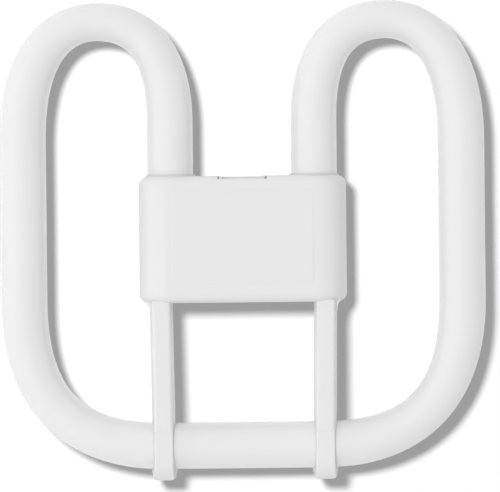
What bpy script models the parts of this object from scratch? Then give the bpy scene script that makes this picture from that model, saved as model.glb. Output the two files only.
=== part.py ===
"""Square compact fluorescent lamp: one bent discharge tube, shaped as two D forms back to back,
in a two-part plastic base whose two arms clip round the far side of the tube.

The lamp lies on its back: +Z is its front, +Y points from the arms to the cap's opening, and X runs
across it. The origin is at the middle of the lamp, in the plane of the base's back face.
Lengths are in metres.
"""

import math

import bmesh
import bpy
from mathutils import Matrix, Vector

MM = 0.001

# Clearances
SEAT_GAP = 0.30 * MM        # between pieces that touch on the real lamp
WIRE_GAP = 0.35 * MM        # round a wire in its bore
CUT_PAST = 2.0 * MM         # how far a cutter runs past the face it opens
ROOT = 0.6 * MM             # how deep a rib or boss is rooted in its wall

# Discharge tube: the centreline of one half, which the other half mirrors
SIDE_X = 93.6 * MM          # outer straight run
LEG_X = 30.7 * MM           # inner straight run, into the base
CROWN_Y = 93.85 * MM        # top of the bend between the two runs
CROWN_SHIFT = 0.65 * MM     # how far that top lies from the middle of the bend, towards the leg
FOOT_Y = -87.4 * MM         # straight run at the far side, held by the arms
LEG_END_Y = -8.0 * MM       # sealed end inside the base
INNER_BEND_Y = 51.6 * MM    # where the leg starts to bend
OUTER_BEND_Y = 43.0 * MM    # where the outer run starts to bend
CORNER_BEND_Y = -25.3 * MM  # where the outer run starts into the bottom corner
CORNER_BEND_X = 34.2 * MM   # where that corner ends
SIDE_RADIUS = 9.9 * MM      # glass radius on the outer runs and the far side
LEG_RADIUS = 9.75 * MM
CROWN_RADIUS = 8.15 * MM    # the glass thins where it is bent
CORNER_RADIUS = 9.15 * MM
SEAL_SHARE = 0.56           # flat of the sealed end, as a share of the leg's radius
SHOULDER_SHARE = 0.83       # the round just behind that flat
SEAL_LENGTH = 5.0 * MM
TIP_RADIUS = 1.5 * MM       # exhaust tip
TIP_LENGTH = 4.0 * MM
BEND_STEPS = 9
TUBE_BEVEL_RESOLUTION = 10
LEAD_SPACING = 5.0 * MM     # between the two leads of one tube end
LEAD_BORE_DEPTH = 2.5 * MM

# Bezier handles of the bends, as shares of each bend's height or width
LEG_PULL = 0.50
CROWN_IN_PULL = 0.78
CROWN_OUT_PULL = 0.55
SIDE_PULL = 0.71
CORNER_SIDE_PULL = 0.69
CORNER_FOOT_PULL = 0.645

# Base: a flat box with round sides, parted at the tube's centreline
WALL = 1.8 * MM
LEG_SPACE = 1.2 * MM        # between a leg's glass and the front or back wall
LEG_SIDE_SPACE = 2.0 * MM   # between a leg's glass and the side wall
BASE_TOP = 27.5 * MM
BASE_BOTTOM = -26.4 * MM
BASE_EDGE = 3.9 * MM        # rounding of the end edges
SIDE_STEPS = 12
MOUTH_CLEARANCE = 0.65 * MM
PANEL_SIDE_MARGIN = 1.45 * MM
PANEL_TOP_MARGIN = 6.15 * MM
PANEL_BOTTOM_MARGIN = 8.2 * MM
PANEL_RISE = 0.3 * MM
NOTCH_DEPTH = 1.35 * MM

BASE_ROUND = LEG_RADIUS + LEG_SPACE + WALL
BASE_HALF_WIDTH = LEG_X + LEG_RADIUS + LEG_SIDE_SPACE + WALL

# Plateau on the back, which gives the cap its depth
PLATEAU_DEPTH = 5.25 * MM
PLATEAU_HALF_WIDTH = 21.0 * MM
PLATEAU_MARGIN = 7.8 * MM   # from the base's bottom edge
PLATEAU_CORNER = 3.0 * MM
PLATEAU_DRAFT = 0.9 * MM
PLATEAU_EDGE = 0.7 * MM

# Heights above the plateau's flat back face
BACK_Z = PLATEAU_DEPTH
TUBE_Z = BACK_Z + BASE_ROUND
FRONT_Z = TUBE_Z + BASE_ROUND
INNER_BACK_Z = BACK_Z + WALL
INNER_FRONT_Z = FRONT_Z - WALL

# Cap: a well for the lampholder, open at the top edge, with two pins in its floor
RECESS_HALF_WIDTH = 8.5 * MM
RECESS_DEPTH = 13.7 * MM
RECESS_BACK_WALL = 2.0 * MM
WELL_WALL = 1.5 * MM
WELL_MARGIN = 0.6 * MM      # between the well and the front shell round it
WELL_CORNER = 1.2 * MM
WEB = 1.8 * MM              # floor of the well
KEY_HALF_WIDTH = 1.5 * MM
KEY_HEIGHT = 1.2 * MM
PIN_SPACING = 8.0 * MM
PIN_RADIUS = 1.2 * MM
PIN_LENGTH = 7.0 * MM
PIN_COLLAR_RADIUS = 1.8 * MM
PIN_COLLAR = 0.8 * MM
PIN_TAIL = 3.8 * MM
PIN_BORE_DEPTH = 3.2 * MM

WELL_HALF_WIDTH = RECESS_HALF_WIDTH + WELL_WALL
WELL_FRONT_Z = INNER_FRONT_Z - 1.5 * SEAT_GAP
RECESS_FRONT_Z = WELL_FRONT_Z - WELL_WALL
PIN_Z = (RECESS_BACK_WALL + RECESS_FRONT_Z) / 2
RECESS_FLOOR_Y = BASE_TOP - RECESS_DEPTH
WEB_BACK_Y = RECESS_FLOOR_Y - WEB

# Silicone collar round each leg, behind the mouth
COLLAR_LENGTH = 4.6 * MM
COLLAR_WALL = LEG_SPACE - 2 * SEAT_GAP
COLLAR_TOP_Y = BASE_TOP - BASE_EDGE
COLLAR_BOTTOM_Y = COLLAR_TOP_Y - COLLAR_LENGTH

# Cradles, lip and pegs inside the base
CRADLE_THICKNESS = 1.5 * MM
CRADLE_SPACING = 5.0 * MM   # from the collar to the upper cradle
CRADLE_INSIDE = 2.2 * MM    # how far a cradle reaches past the leg towards the middle
LIP = 0.8 * MM
LIP_RISE = 1.7 * MM
LIP_ROOT_DEPTH = 3.4 * MM
LIP_ROOT_WIDTH = 1.5 * MM
PEG_RADIUS = 1.5 * MM
PEG_SHOULDER = 2.4 * MM
PEG_INSERT = 5.0 * MM
LOW_PEG_X = 14.6 * MM
LOW_PEG_MARGIN = 7.2 * MM   # from the base's bottom edge
HIGH_PEG_MARGIN = 7.9 * MM  # from the base's top edge

UPPER_CRADLE_Y = COLLAR_BOTTOM_Y - CRADLE_SPACING
LOWER_CRADLE_Y = LEG_END_Y + SEAL_LENGTH + CRADLE_THICKNESS
HIGH_PEG_X = (WELL_HALF_WIDTH + LEG_X - LEG_RADIUS) / 2
LOW_PEG = (LOW_PEG_X, BASE_BOTTOM + LOW_PEG_MARGIN)
HIGH_PEG = (HIGH_PEG_X, BASE_TOP - HIGH_PEG_MARGIN)

# Arms and their hooks
ARM_X = 35.1 * MM           # middle of an arm at its root
HOOK_X = 34.4 * MM          # and at its hook, as the arms lean in
ARM_BACK_WIDTH = 9.8 * MM
ARM_FRONT_WIDTH = 7.8 * MM
ARM_SET_BACK = 2.65 * MM    # from the base's front to the arm's face, at its root
ARM_EDGE = 1.3 * MM
ARM_WALL = 1.6 * MM
ARM_BAYS = 3                # hollows between the arm's cross ribs
GUSSET_WIDTH = 1.2 * MM
GUSSET_LENGTH = 3.8 * MM
GUSSET_HEIGHT = 6.0 * MM
HOOK_OVERHANG = 0.6 * MM    # how much wider the grip is than the arm, on each side
HOOK_WALL = 1.9 * MM
HOOK_GRIP = 5.0 * MM        # how far the hook passes the middle of the tube
HOOK_STEP = 0.5 * MM        # from the arm's face up to the strap's
STRAP_INSET = 5.5 * MM      # from the strap's radius in to where the strap starts
TOE = 2.5 * MM              # how far the foot stands out past that radius
TOE_HEIGHT = 3.1 * MM       # from the tube's centreline up to the foot's top
BROW_LENGTH = 8.6 * MM      # over which the strap rounds down to the foot
HOOK_CORNER = 3.2 * MM
HOOK_EDGE = 0.8 * MM
HOOK_STEPS = 7
FOOT_ROUND = 1.8 * MM       # under the end of the foot
GRIP_SHARE = 0.82           # where the lead-in starts, as a share of the tube's radius

STRAP_RADIUS = SIDE_RADIUS + SEAT_GAP + HOOK_WALL
HOOK_REACH = STRAP_RADIUS + TOE
HOOK_ROOT = STRAP_RADIUS - STRAP_INSET
HOOK_FLAT = HOOK_REACH - BROW_LENGTH
HOOK_BROW = STRAP_RADIUS - TOE_HEIGHT
ARM_FRONT_Z = FRONT_Z - ARM_SET_BACK
ARM_RISE = TUBE_Z + STRAP_RADIUS - HOOK_STEP - ARM_FRONT_Z
ARM_END_Y = FOOT_Y + HOOK_ROOT - HOOK_WALL

# Starter: glow bottle in saddles, capacitor in a pocket, ferrules and leads
BOTTLE_RADIUS = 4.0 * MM
BOTTLE_LENGTH = 20.0 * MM
BOTTLE_SPACE = 3.4 * MM     # from the back of the web to the bottle's dome
BOTTLE_HANG = 4.35 * MM     # from the front wall to the bottle
BOTTLE_LEAD_SPACING = 2.6 * MM
SADDLE_INSET = 4.2 * MM     # from each end of the bottle
SADDLE_MARGIN = 2.0 * MM
SADDLE_THICKNESS = 1.4 * MM
CAPACITOR_WIDTH = 9.6 * MM
CAPACITOR_DEPTH = 3.8 * MM
CAPACITOR_HEIGHT = 8.4 * MM
CAPACITOR_MARGIN = 7.0 * MM # from the base's bottom edge to its middle
CAPACITOR_EDGE = 0.5 * MM
CAPACITOR_LEAD_SPACING = 7.0 * MM
POCKET_WALL = 1.2 * MM
POCKET_HEIGHT = 4.0 * MM
WIRE_RADIUS = 0.28 * MM
TUBE_LEAD_RADIUS = 0.35 * MM
LEAD_EXIT = 1.0 * MM        # straight run of a lead outside its bore
LEAD_SAG = 5.0 * MM         # how far a pin's lead hangs back behind the pin
STARTER_BORE_DEPTH = 1.6 * MM
FERRULE_WALL = 0.6 * MM
FERRULE_LENGTH = 5.0 * MM
FERRULE_X = 10.0 * MM
FERRULE_SPACE = 3.2 * MM    # from the bottle's pinched end to the ferrules
WIRE_PAIR = 1.3 * MM        # between the two wires that share one end of a ferrule

BOTTLE_Z = INNER_FRONT_Z - BOTTLE_HANG - BOTTLE_RADIUS
BOTTLE_TOP_Y = WEB_BACK_Y - BOTTLE_SPACE
BOTTLE_BOTTOM_Y = BOTTLE_TOP_Y - BOTTLE_LENGTH
CAPACITOR_Y = BASE_BOTTOM + CAPACITOR_MARGIN
CAPACITOR_TOP_Z = INNER_BACK_Z + SEAT_GAP + CAPACITOR_HEIGHT
FERRULE_Y = BOTTLE_BOTTOM_Y - FERRULE_SPACE
FERRULE_Z = BOTTLE_Z
FERRULE_BORE = WIRE_PAIR / 2 + WIRE_RADIUS + WIRE_GAP

MATERIALS = {
    "opal_glass": ((0.83, 0.84, 0.83, 1.0), 0.18, 0.0),
    "white_plastic": ((0.80, 0.80, 0.78, 1.0), 0.38, 0.0),
    "silicone": ((0.72, 0.72, 0.70, 1.0), 0.55, 0.0),
    "nickel_brass": ((0.70, 0.68, 0.62, 1.0), 0.25, 1.0),
    "tinned_copper": ((0.72, 0.70, 0.68, 1.0), 0.35, 1.0),
    "clear_glass": ((0.75, 0.80, 0.78, 1.0), 0.08, 0.0),
    "capacitor_resin": ((0.62, 0.30, 0.10, 1.0), 0.45, 0.0),
}


# Scene helpers

def clear_scene():
    for obj in list(bpy.data.objects):
        bpy.data.objects.remove(obj, do_unlink=True)


def new_collection(name):
    collection = bpy.data.collections.new(name)
    bpy.context.scene.collection.children.link(collection)
    return collection


def make_materials():
    made = {}
    for name, (colour, roughness, metallic) in MATERIALS.items():
        material = bpy.data.materials.new(name)
        material.use_nodes = True
        shader = material.node_tree.nodes["Principled BSDF"]
        shader.inputs["Base Color"].default_value = colour
        shader.inputs["Roughness"].default_value = roughness
        shader.inputs["Metallic"].default_value = metallic
        material.diffuse_color = colour
        made[name] = material
    return made


def add_object(name, data, collection):
    obj = bpy.data.objects.new(name, data)
    collection.objects.link(obj)
    return obj


def mesh_object(name, bm, collection):
    bmesh.ops.recalc_face_normals(bm, faces=bm.faces)
    mesh = bpy.data.meshes.new(name)
    bm.to_mesh(mesh)
    bm.free()
    return add_object(name, mesh, collection)


def tool(name, bm):
    obj = mesh_object(name, bm, CUTTERS)
    hide_tool(obj)
    return obj


def hide_tool(obj):
    obj.hide_render = True
    obj.display_type = "WIRE"


def finish_part(obj, material, smooth_angle=None):
    obj.data.materials.clear()
    obj.data.materials.append(material)
    if smooth_angle is not None:
        obj.data.shade_smooth()
        obj.data.set_sharp_from_angle(angle=math.radians(smooth_angle))


def boolean(obj, operation, other):
    modifier = obj.modifiers.new(f"{operation.title()} {other.name}", "BOOLEAN")
    modifier.operation = operation
    modifier.solver = "EXACT"
    modifier.object = other


def join(obj, *others):
    for other in others:
        boolean(obj, "UNION", other)


def cut(obj, *others):
    for other in others:
        boolean(obj, "DIFFERENCE", other)


def bevel(obj, width, segments, angle=40.0):
    modifier = obj.modifiers.new("Rounded edges", "BEVEL")
    modifier.width = width
    modifier.segments = segments
    modifier.limit_method = "ANGLE"
    modifier.angle_limit = math.radians(angle)


# Shapes

def box_mesh(low, high):
    """A box between two corners."""
    low, high = Vector(low), Vector(high)
    bm = bmesh.new()
    bmesh.ops.create_cube(bm, size=1.0)
    size = high - low
    bmesh.ops.transform(bm, matrix=Matrix.Diagonal((*size, 1.0)), verts=bm.verts)
    bmesh.ops.translate(bm, vec=(low + high) / 2, verts=bm.verts)
    return bm


def mirrored_box(low, high, side):
    """A box given for the +X side, on the side that is asked for."""
    xs = sorted((side * low[0], side * high[0]))
    return box_mesh((xs[0], low[1], low[2]), (xs[1], high[1], high[2]))


def rod_mesh(start, end, radius, end_radius=None, sides=24):
    """A cylinder or cone from one point to another."""
    start, end = Vector(start), Vector(end)
    axis = end - start
    bm = bmesh.new()
    bmesh.ops.create_cone(
        bm, cap_ends=True, segments=sides, radius1=radius,
        radius2=radius if end_radius is None else end_radius, depth=axis.length)
    turn = Vector((0.0, 0.0, 1.0)).rotation_difference(axis).to_matrix().to_4x4()
    bmesh.ops.transform(bm, matrix=Matrix.Translation((start + end) / 2) @ turn, verts=bm.verts)
    return bm


def prism_mesh(outline, along, start, end):
    """A closed outline, pushed along X, Y or Z from start to end. The outline gives the other two
    coordinates, in the order X, Y, Z."""
    bm = bmesh.new()
    corners = []
    for first, second in outline:
        place = {"X": (start, first, second), "Y": (first, start, second), "Z": (first, second, start)}
        corners.append(bm.verts.new(place[along]))
    face = bm.faces.new(corners)
    pushed = bmesh.ops.extrude_face_region(bm, geom=[face])
    step = {"X": (end - start, 0, 0), "Y": (0, end - start, 0), "Z": (0, 0, end - start)}[along]
    moved = [item for item in pushed["geom"] if isinstance(item, bmesh.types.BMVert)]
    bmesh.ops.translate(bm, vec=step, verts=moved)
    return bm


def turned_object(name, profile, place, axis, collection, steps=16):
    """A profile of (radius, height) pairs, top to bottom, turned about its own axis."""
    mesh = bpy.data.meshes.new(name)
    mesh.from_pydata([(radius, 0.0, height) for radius, height in profile],
                     [(i, i + 1) for i in range(len(profile) - 1)], [])
    obj = add_object(name, mesh, collection)
    obj.location = place
    obj.rotation_mode = "QUATERNION"
    obj.rotation_quaternion = Vector((0.0, 0.0, 1.0)).rotation_difference(Vector(axis))
    screw = obj.modifiers.new("Turn", "SCREW")
    screw.steps = steps
    screw.render_steps = steps
    screw.use_merge_vertices = True
    screw.merge_threshold = 0.00001
    screw.use_smooth_shade = True
    return obj


def stadium(half_width, radius, centre_z, steps):
    """The base's section: a flat front and back between two round sides, as (x, z) pairs."""
    points = []
    for side, first in ((1.0, -90.0), (-1.0, 90.0)):
        for i in range(steps + 1):
            angle = math.radians(first + 180.0 * i / steps)
            points.append((side * (half_width - radius) + radius * math.cos(angle),
                           centre_z + radius * math.sin(angle)))
    return points


def mesh_from_curve(name, curve, collection):
    """The curve object as a welded mesh object."""
    graph = bpy.context.evaluated_depsgraph_get()
    mesh = bpy.data.meshes.new_from_object(curve.evaluated_get(graph), depsgraph=graph)
    bm = bmesh.new()
    bm.from_mesh(mesh)
    bmesh.ops.remove_doubles(bm, verts=bm.verts, dist=0.00001)
    bmesh.ops.recalc_face_normals(bm, faces=bm.faces)
    bm.to_mesh(mesh)
    bm.free()
    mesh.name = name
    place = curve.matrix_world.copy()
    data = curve.data
    bpy.data.objects.remove(curve)
    bpy.data.curves.remove(data)
    obj = add_object(name, mesh, collection)
    obj.matrix_world = place
    return obj


# Discharge tube

def split_bend(start, start_handle, end_handle, end):
    """The two halves of a Bezier bend, so that the middle can have a radius of its own."""
    a = (start + start_handle) / 2
    b = (start_handle + end_handle) / 2
    c = (end_handle + end) / 2
    d = (a + b) / 2
    e = (b + c) / 2
    return a, d, (d + e) / 2, e, c


def half_route():
    """One half of the centreline, from the sealed end to the middle of the far side, as
    (handle before, point, handle after, glass radius)."""
    crown_x = (SIDE_X + LEG_X) / 2 - CROWN_SHIFT
    inner_start = Vector((LEG_X, INNER_BEND_Y))
    crown = Vector((crown_x, CROWN_Y))
    outer_end = Vector((SIDE_X, OUTER_BEND_Y))
    corner_start = Vector((SIDE_X, CORNER_BEND_Y))
    corner_end = Vector((CORNER_BEND_X, FOOT_Y))

    leg_handle = inner_start + Vector((0.0, LEG_PULL * (CROWN_Y - INNER_BEND_Y)))
    crown_in = crown - Vector((CROWN_IN_PULL * (crown_x - LEG_X), 0.0))
    crown_out = crown + Vector((CROWN_OUT_PULL * (SIDE_X - crown_x), 0.0))
    side_handle = outer_end + Vector((0.0, SIDE_PULL * (CROWN_Y - OUTER_BEND_Y)))
    corner_side = corner_start - Vector((0.0, CORNER_SIDE_PULL * (CORNER_BEND_Y - FOOT_Y)))
    corner_foot = corner_end + Vector((CORNER_FOOT_PULL * (SIDE_X - CORNER_BEND_X), 0.0))
    before, middle_in, middle, middle_out, after = split_bend(
        corner_start, corner_side, corner_foot, corner_end)

    return [
        (None, Vector((LEG_X, LEG_END_Y)), None, SEAL_SHARE * LEG_RADIUS),
        (None, Vector((LEG_X, LEG_END_Y + SEAL_LENGTH / 4)), None, SHOULDER_SHARE * LEG_RADIUS),
        (None, Vector((LEG_X, LEG_END_Y + SEAL_LENGTH)), None, LEG_RADIUS),
        (None, inner_start, leg_handle, LEG_RADIUS),
        (crown_in, crown, crown_out, CROWN_RADIUS),
        (side_handle, outer_end, None, SIDE_RADIUS),
        (None, corner_start, before, SIDE_RADIUS),
        (middle_in, middle, middle_out, CORNER_RADIUS),
        (after, corner_end, None, SIDE_RADIUS),
    ]


def mirror_x(point):
    return None if point is None else Vector((-point.x, point.y))


def set_handle(point, side, place):
    """A free handle in a bend, and a straight one where the glass runs straight."""
    if place is None:
        setattr(point, f"handle_{side}_type", "VECTOR")
    else:
        setattr(point, f"handle_{side}_type", "FREE")
        setattr(point, f"handle_{side}", (place.x, place.y, 0.0))


def build_tube():
    right = half_route()
    left = [(mirror_x(after), mirror_x(place), mirror_x(before), radius)
            for before, place, after, radius in reversed(right)]
    route = right + left

    curve = bpy.data.curves.new("discharge_tube_path", "CURVE")
    curve.dimensions = "3D"
    curve.twist_mode = "Z_UP"
    curve.resolution_u = BEND_STEPS
    curve.bevel_depth = SIDE_RADIUS
    curve.bevel_resolution = TUBE_BEVEL_RESOLUTION
    curve.use_fill_caps = True
    spline = curve.splines.new("BEZIER")
    spline.radius_interpolation = "LINEAR"
    spline.bezier_points.add(len(route) - 1)
    for point, (before, place, after, radius) in zip(spline.bezier_points, route):
        point.co = (place.x, place.y, 0.0)
        point.radius = radius / SIDE_RADIUS
        set_handle(point, "left", before)
        set_handle(point, "right", after)
    path = add_object("discharge_tube_path", curve, PARTS)
    path.location.z = TUBE_Z
    bpy.context.view_layer.update()
    tube = mesh_from_curve("discharge_tube", path, PARTS)

    tip_start = (-LEG_X, LEG_END_Y + CUT_PAST, TUBE_Z)
    tip_end = (-LEG_X, LEG_END_Y - TIP_LENGTH, TUBE_Z)
    join(tube, tool("exhaust_tip", rod_mesh(tip_start, tip_end, TIP_RADIUS, 0.6 * TIP_RADIUS, 12)))
    for side in (-1.0, 1.0):
        for lead in (-1.0, 1.0):
            x = side * (LEG_X + lead * LEAD_SPACING / 2)
            cut(tube, tool("tube_lead_bore", rod_mesh(
                (x, LEG_END_Y - CUT_PAST, TUBE_Z), (x, LEG_END_Y + LEAD_BORE_DEPTH, TUBE_Z),
                TUBE_LEAD_RADIUS + WIRE_GAP, sides=8)))
    finish_part(tube, MATERIAL["opal_glass"], 40)


# Base

def base_block(name, inset, collection):
    """The whole base as a solid, or its hollow when inset by the wall."""
    outline = stadium(BASE_HALF_WIDTH - inset, BASE_ROUND - inset, TUBE_Z, SIDE_STEPS)
    block = mesh_object(
        name, prism_mesh(outline, "Y", BASE_BOTTOM + inset, BASE_TOP - inset), collection)
    bevel(block, BASE_EDGE - inset, 3, 60.0)
    if collection is CUTTERS:
        hide_tool(block)
    return block


def half_space(name, low_z, high_z):
    """All of the base between two heights."""
    return tool(name, box_mesh(
        (-BASE_HALF_WIDTH - CUT_PAST, BASE_BOTTOM - CUT_PAST, low_z),
        (BASE_HALF_WIDTH + CUT_PAST, BASE_TOP + CUT_PAST, high_z)))


def leg_channel(side, radius, low_y, high_y):
    return tool("leg_channel", rod_mesh(
        (side * LEG_X, low_y, TUBE_Z), (side * LEG_X, high_y, TUBE_Z), radius, sides=32))


def cut_leg_room(shell, side):
    """Clear the mouth and the cradles for one leg of the tube."""
    cut(shell, leg_channel(side, LEG_RADIUS + MOUTH_CLEARANCE, BASE_TOP - WALL - CUT_PAST,
                           BASE_TOP + CUT_PAST))
    cut(shell, leg_channel(side, LEG_RADIUS + SEAT_GAP, LOWER_CRADLE_Y - CRADLE_THICKNESS,
                           UPPER_CRADLE_Y + CRADLE_THICKNESS))


def cradle(side, y, low_z, high_z):
    """A rib across the base under or over one tube leg, kept inside the round of the wall."""
    inner_x = LEG_X - LEG_RADIUS - CRADLE_INSIDE
    outer_x = LEG_X + LEG_RADIUS + SEAT_GAP
    rib = tool("cradle", mirrored_box(
        (inner_x, y - CRADLE_THICKNESS / 2, low_z), (outer_x, y + CRADLE_THICKNESS / 2, high_z), side))
    boolean(rib, "INTERSECT", base_block("cradle_limit", WALL - ROOT, CUTTERS))
    return rib


def build_front_shell():
    parting = TUBE_Z + SEAT_GAP / 2
    shell = base_block("front_shell", 0.0, PARTS)
    join(shell, raised_panel())
    for side in (-1.0, 1.0):
        join(shell, arm(side, parting))
    cut(shell, half_space("below_parting", BACK_Z - CUT_PAST, parting))
    cut(shell, base_block("front_hollow", WALL, CUTTERS))

    for side in (-1.0, 1.0):
        for y in (UPPER_CRADLE_Y, LOWER_CRADLE_Y):
            join(shell, cradle(side, y, parting, INNER_FRONT_Z + ROOT))
        for x, y in (LOW_PEG, HIGH_PEG):
            join(shell, tool("peg_boss", rod_mesh(
                (side * x, y, parting + LIP_RISE), (side * x, y, INNER_FRONT_Z + ROOT),
                PEG_SHOULDER + SEAT_GAP, sides=16)))
    saddle_ys = (BOTTLE_TOP_Y - SADDLE_INSET, BOTTLE_BOTTOM_Y + SADDLE_INSET)
    for y in saddle_ys:
        reach = BOTTLE_RADIUS + SADDLE_MARGIN
        join(shell, tool("bottle_saddle", box_mesh(
            (-reach, y - SADDLE_THICKNESS / 2, BOTTLE_Z),
            (reach, y + SADDLE_THICKNESS / 2, INNER_FRONT_Z + ROOT))))

    for side in (-1.0, 1.0):
        cut_leg_room(shell, side)
        for x, y in (LOW_PEG, HIGH_PEG):
            cut(shell, tool("peg_socket", rod_mesh(
                (side * x, y, parting), (side * x, y, parting + LIP_RISE + PEG_INSERT + SEAT_GAP),
                PEG_RADIUS + SEAT_GAP, sides=12)))
        cut(shell, hook_channel(side))
    cut(shell, tool("bottle_seat", rod_mesh(
        (0.0, saddle_ys[1] - SADDLE_THICKNESS, BOTTLE_Z), (0.0, saddle_ys[0] + SADDLE_THICKNESS, BOTTLE_Z),
        BOTTLE_RADIUS + SEAT_GAP)))
    opening = WELL_HALF_WIDTH + WELL_MARGIN
    cut(shell, tool("well_opening", box_mesh(
        (-opening, BASE_TOP - WALL - CUT_PAST, parting - CUT_PAST),
        (opening, BASE_TOP + CUT_PAST, INNER_FRONT_Z))))
    cut(shell, tool("notch", box_mesh(
        (-opening, BASE_TOP - NOTCH_DEPTH, INNER_FRONT_Z - CUT_PAST),
        (opening, BASE_TOP + CUT_PAST, FRONT_Z + CUT_PAST))))
    finish_part(shell, MATERIAL["white_plastic"], 30)


def raised_panel():
    half_width = BASE_HALF_WIDTH - BASE_ROUND - PANEL_SIDE_MARGIN
    panel = tool("raised_panel", box_mesh(
        (-half_width, BASE_BOTTOM + PANEL_BOTTOM_MARGIN, INNER_FRONT_Z + ROOT),
        (half_width, BASE_TOP - PANEL_TOP_MARGIN, FRONT_Z + PANEL_RISE)))
    bevel(panel, 0.9 * PANEL_RISE, 2)
    return panel


def build_rear_shell():
    parting = TUBE_Z - SEAT_GAP / 2
    shell = base_block("rear_shell", 0.0, PARTS)
    cut(shell, half_space("above_parting", parting, FRONT_Z + CUT_PAST))
    raised_back = plateau("plateau", 0.0, 0.0, BACK_Z + BASE_EDGE)
    bevel(raised_back, PLATEAU_EDGE, 2, 60.0)
    join(shell, raised_back)
    cut(shell, base_block("rear_hollow", WALL, CUTTERS))
    cut(shell, plateau("plateau_hollow", WALL, RECESS_BACK_WALL, INNER_BACK_Z + CUT_PAST))

    for low, high in lip_boxes(parting):
        join(shell, tool("lip", box_mesh(low, high)))
    for side in (-1.0, 1.0):
        for y in (UPPER_CRADLE_Y, LOWER_CRADLE_Y):
            join(shell, cradle(side, y, INNER_BACK_Z - ROOT, parting))
        join(shell, peg(side * LOW_PEG[0], LOW_PEG[1], INNER_BACK_Z, parting))
        join(shell, peg(side * HIGH_PEG[0], HIGH_PEG[1], RECESS_BACK_WALL, parting))
    join(shell, capacitor_pocket())

    well = tool("well", box_mesh(
        (-WELL_HALF_WIDTH, WEB_BACK_Y, RECESS_BACK_WALL - ROOT), (WELL_HALF_WIDTH, BASE_TOP, WELL_FRONT_Z)))
    round_front_edges(well, WELL_CORNER, 3)
    join(shell, well)
    cut(shell, recess())
    cut(shell, tool("well_window", box_mesh(
        (-RECESS_HALF_WIDTH, BASE_TOP - NOTCH_DEPTH, RECESS_FRONT_Z - ROOT),
        (RECESS_HALF_WIDTH, BASE_TOP + CUT_PAST, FRONT_Z))))
    for side in (-1.0, 1.0):
        x = side * PIN_SPACING / 2
        cut(shell, tool("pin_hole", rod_mesh(
            (x, WEB_BACK_Y - CUT_PAST, PIN_Z), (x, RECESS_FLOOR_Y + CUT_PAST, PIN_Z),
            PIN_RADIUS + SEAT_GAP, sides=16)))
        cut_leg_room(shell, side)
    finish_part(shell, MATERIAL["white_plastic"], 30)


def plateau(name, inset, low_z, high_z):
    """The raised back of the base, drawn in towards its flat face."""
    half_width = PLATEAU_HALF_WIDTH - inset
    bottom = BASE_BOTTOM + PLATEAU_MARGIN + inset
    bm = box_mesh((-half_width, bottom, low_z), (half_width, BASE_TOP - inset, high_z))
    for vert in bm.verts:
        if vert.co.z < (low_z + high_z) / 2:
            vert.co.x -= math.copysign(PLATEAU_DRAFT, vert.co.x)
            if vert.co.y < 0.0:
                vert.co.y += PLATEAU_DRAFT
    corners = [edge for edge in bm.edges
               if abs(edge.verts[0].co.z - edge.verts[1].co.z) > SEAT_GAP
               and edge.verts[0].co.y < 0.0]
    bmesh.ops.bevel(bm, geom=corners, offset=PLATEAU_CORNER - inset, segments=4, affect="EDGES",
                    profile=0.5)
    return tool(name, bm)


def lip_boxes(parting):
    """Low rims just inside the front shell's wall, on the two sides and along the bottom, each a rim on
    a root that ties it to the rear shell."""
    side_outer = BASE_HALF_WIDTH - WALL - SEAT_GAP
    side_inner = side_outer - LIP
    low_y = BASE_BOTTOM + BASE_EDGE
    high_y = COLLAR_BOTTOM_Y - SEAT_GAP
    bottom_outer = BASE_BOTTOM + WALL + SEAT_GAP
    bottom_inner = bottom_outer + LIP
    straight_x = BASE_HALF_WIDTH - BASE_ROUND
    root_z = parting - LIP_ROOT_DEPTH
    boxes = []
    for side in (-1.0, 1.0):
        rim = sorted((side * side_inner, side * side_outer))
        root = sorted((side * side_inner, side * (side_inner + LIP_ROOT_WIDTH)))
        boxes.append(((rim[0], low_y, parting - ROOT), (rim[1], high_y, parting + LIP_RISE)))
        boxes.append(((root[0], low_y, root_z), (root[1], high_y, parting - SEAT_GAP)))
    boxes.append(((-straight_x, bottom_outer, parting - ROOT),
                  (straight_x, bottom_inner, parting + LIP_RISE)))
    boxes.append(((-straight_x, bottom_inner - LIP_ROOT_WIDTH, root_z),
                  (straight_x, bottom_inner, parting - SEAT_GAP)))
    return boxes


def peg(x, y, floor_z, parting):
    """A shouldered peg, which stands in the front shell's socket."""
    shoulder_z = parting + LIP_RISE - SEAT_GAP
    profile = [
        (0.0, shoulder_z + PEG_INSERT),
        (0.7 * PEG_RADIUS, shoulder_z + PEG_INSERT),
        (PEG_RADIUS, shoulder_z + 0.85 * PEG_INSERT),
        (PEG_RADIUS, shoulder_z),
        (PEG_SHOULDER, shoulder_z),
        (PEG_SHOULDER, floor_z - ROOT),
        (0.0, floor_z - ROOT),
    ]
    post = turned_object("peg", profile, (x, y, 0.0), (0.0, 0.0, 1.0), CUTTERS)
    hide_tool(post)
    return post


def capacitor_pocket():
    """A low box round the capacitor's foot."""
    half_x = CAPACITOR_WIDTH / 2 + SEAT_GAP
    half_y = CAPACITOR_DEPTH / 2 + SEAT_GAP
    top = INNER_BACK_Z + POCKET_HEIGHT
    pocket = tool("capacitor_pocket", box_mesh(
        (-half_x - POCKET_WALL, CAPACITOR_Y - half_y - POCKET_WALL, INNER_BACK_Z - ROOT),
        (half_x + POCKET_WALL, CAPACITOR_Y + half_y + POCKET_WALL, top)))
    cut(pocket, tool("capacitor_seat", box_mesh(
        (-half_x, CAPACITOR_Y - half_y, INNER_BACK_Z), (half_x, CAPACITOR_Y + half_y, top + CUT_PAST))))
    return pocket


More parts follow.
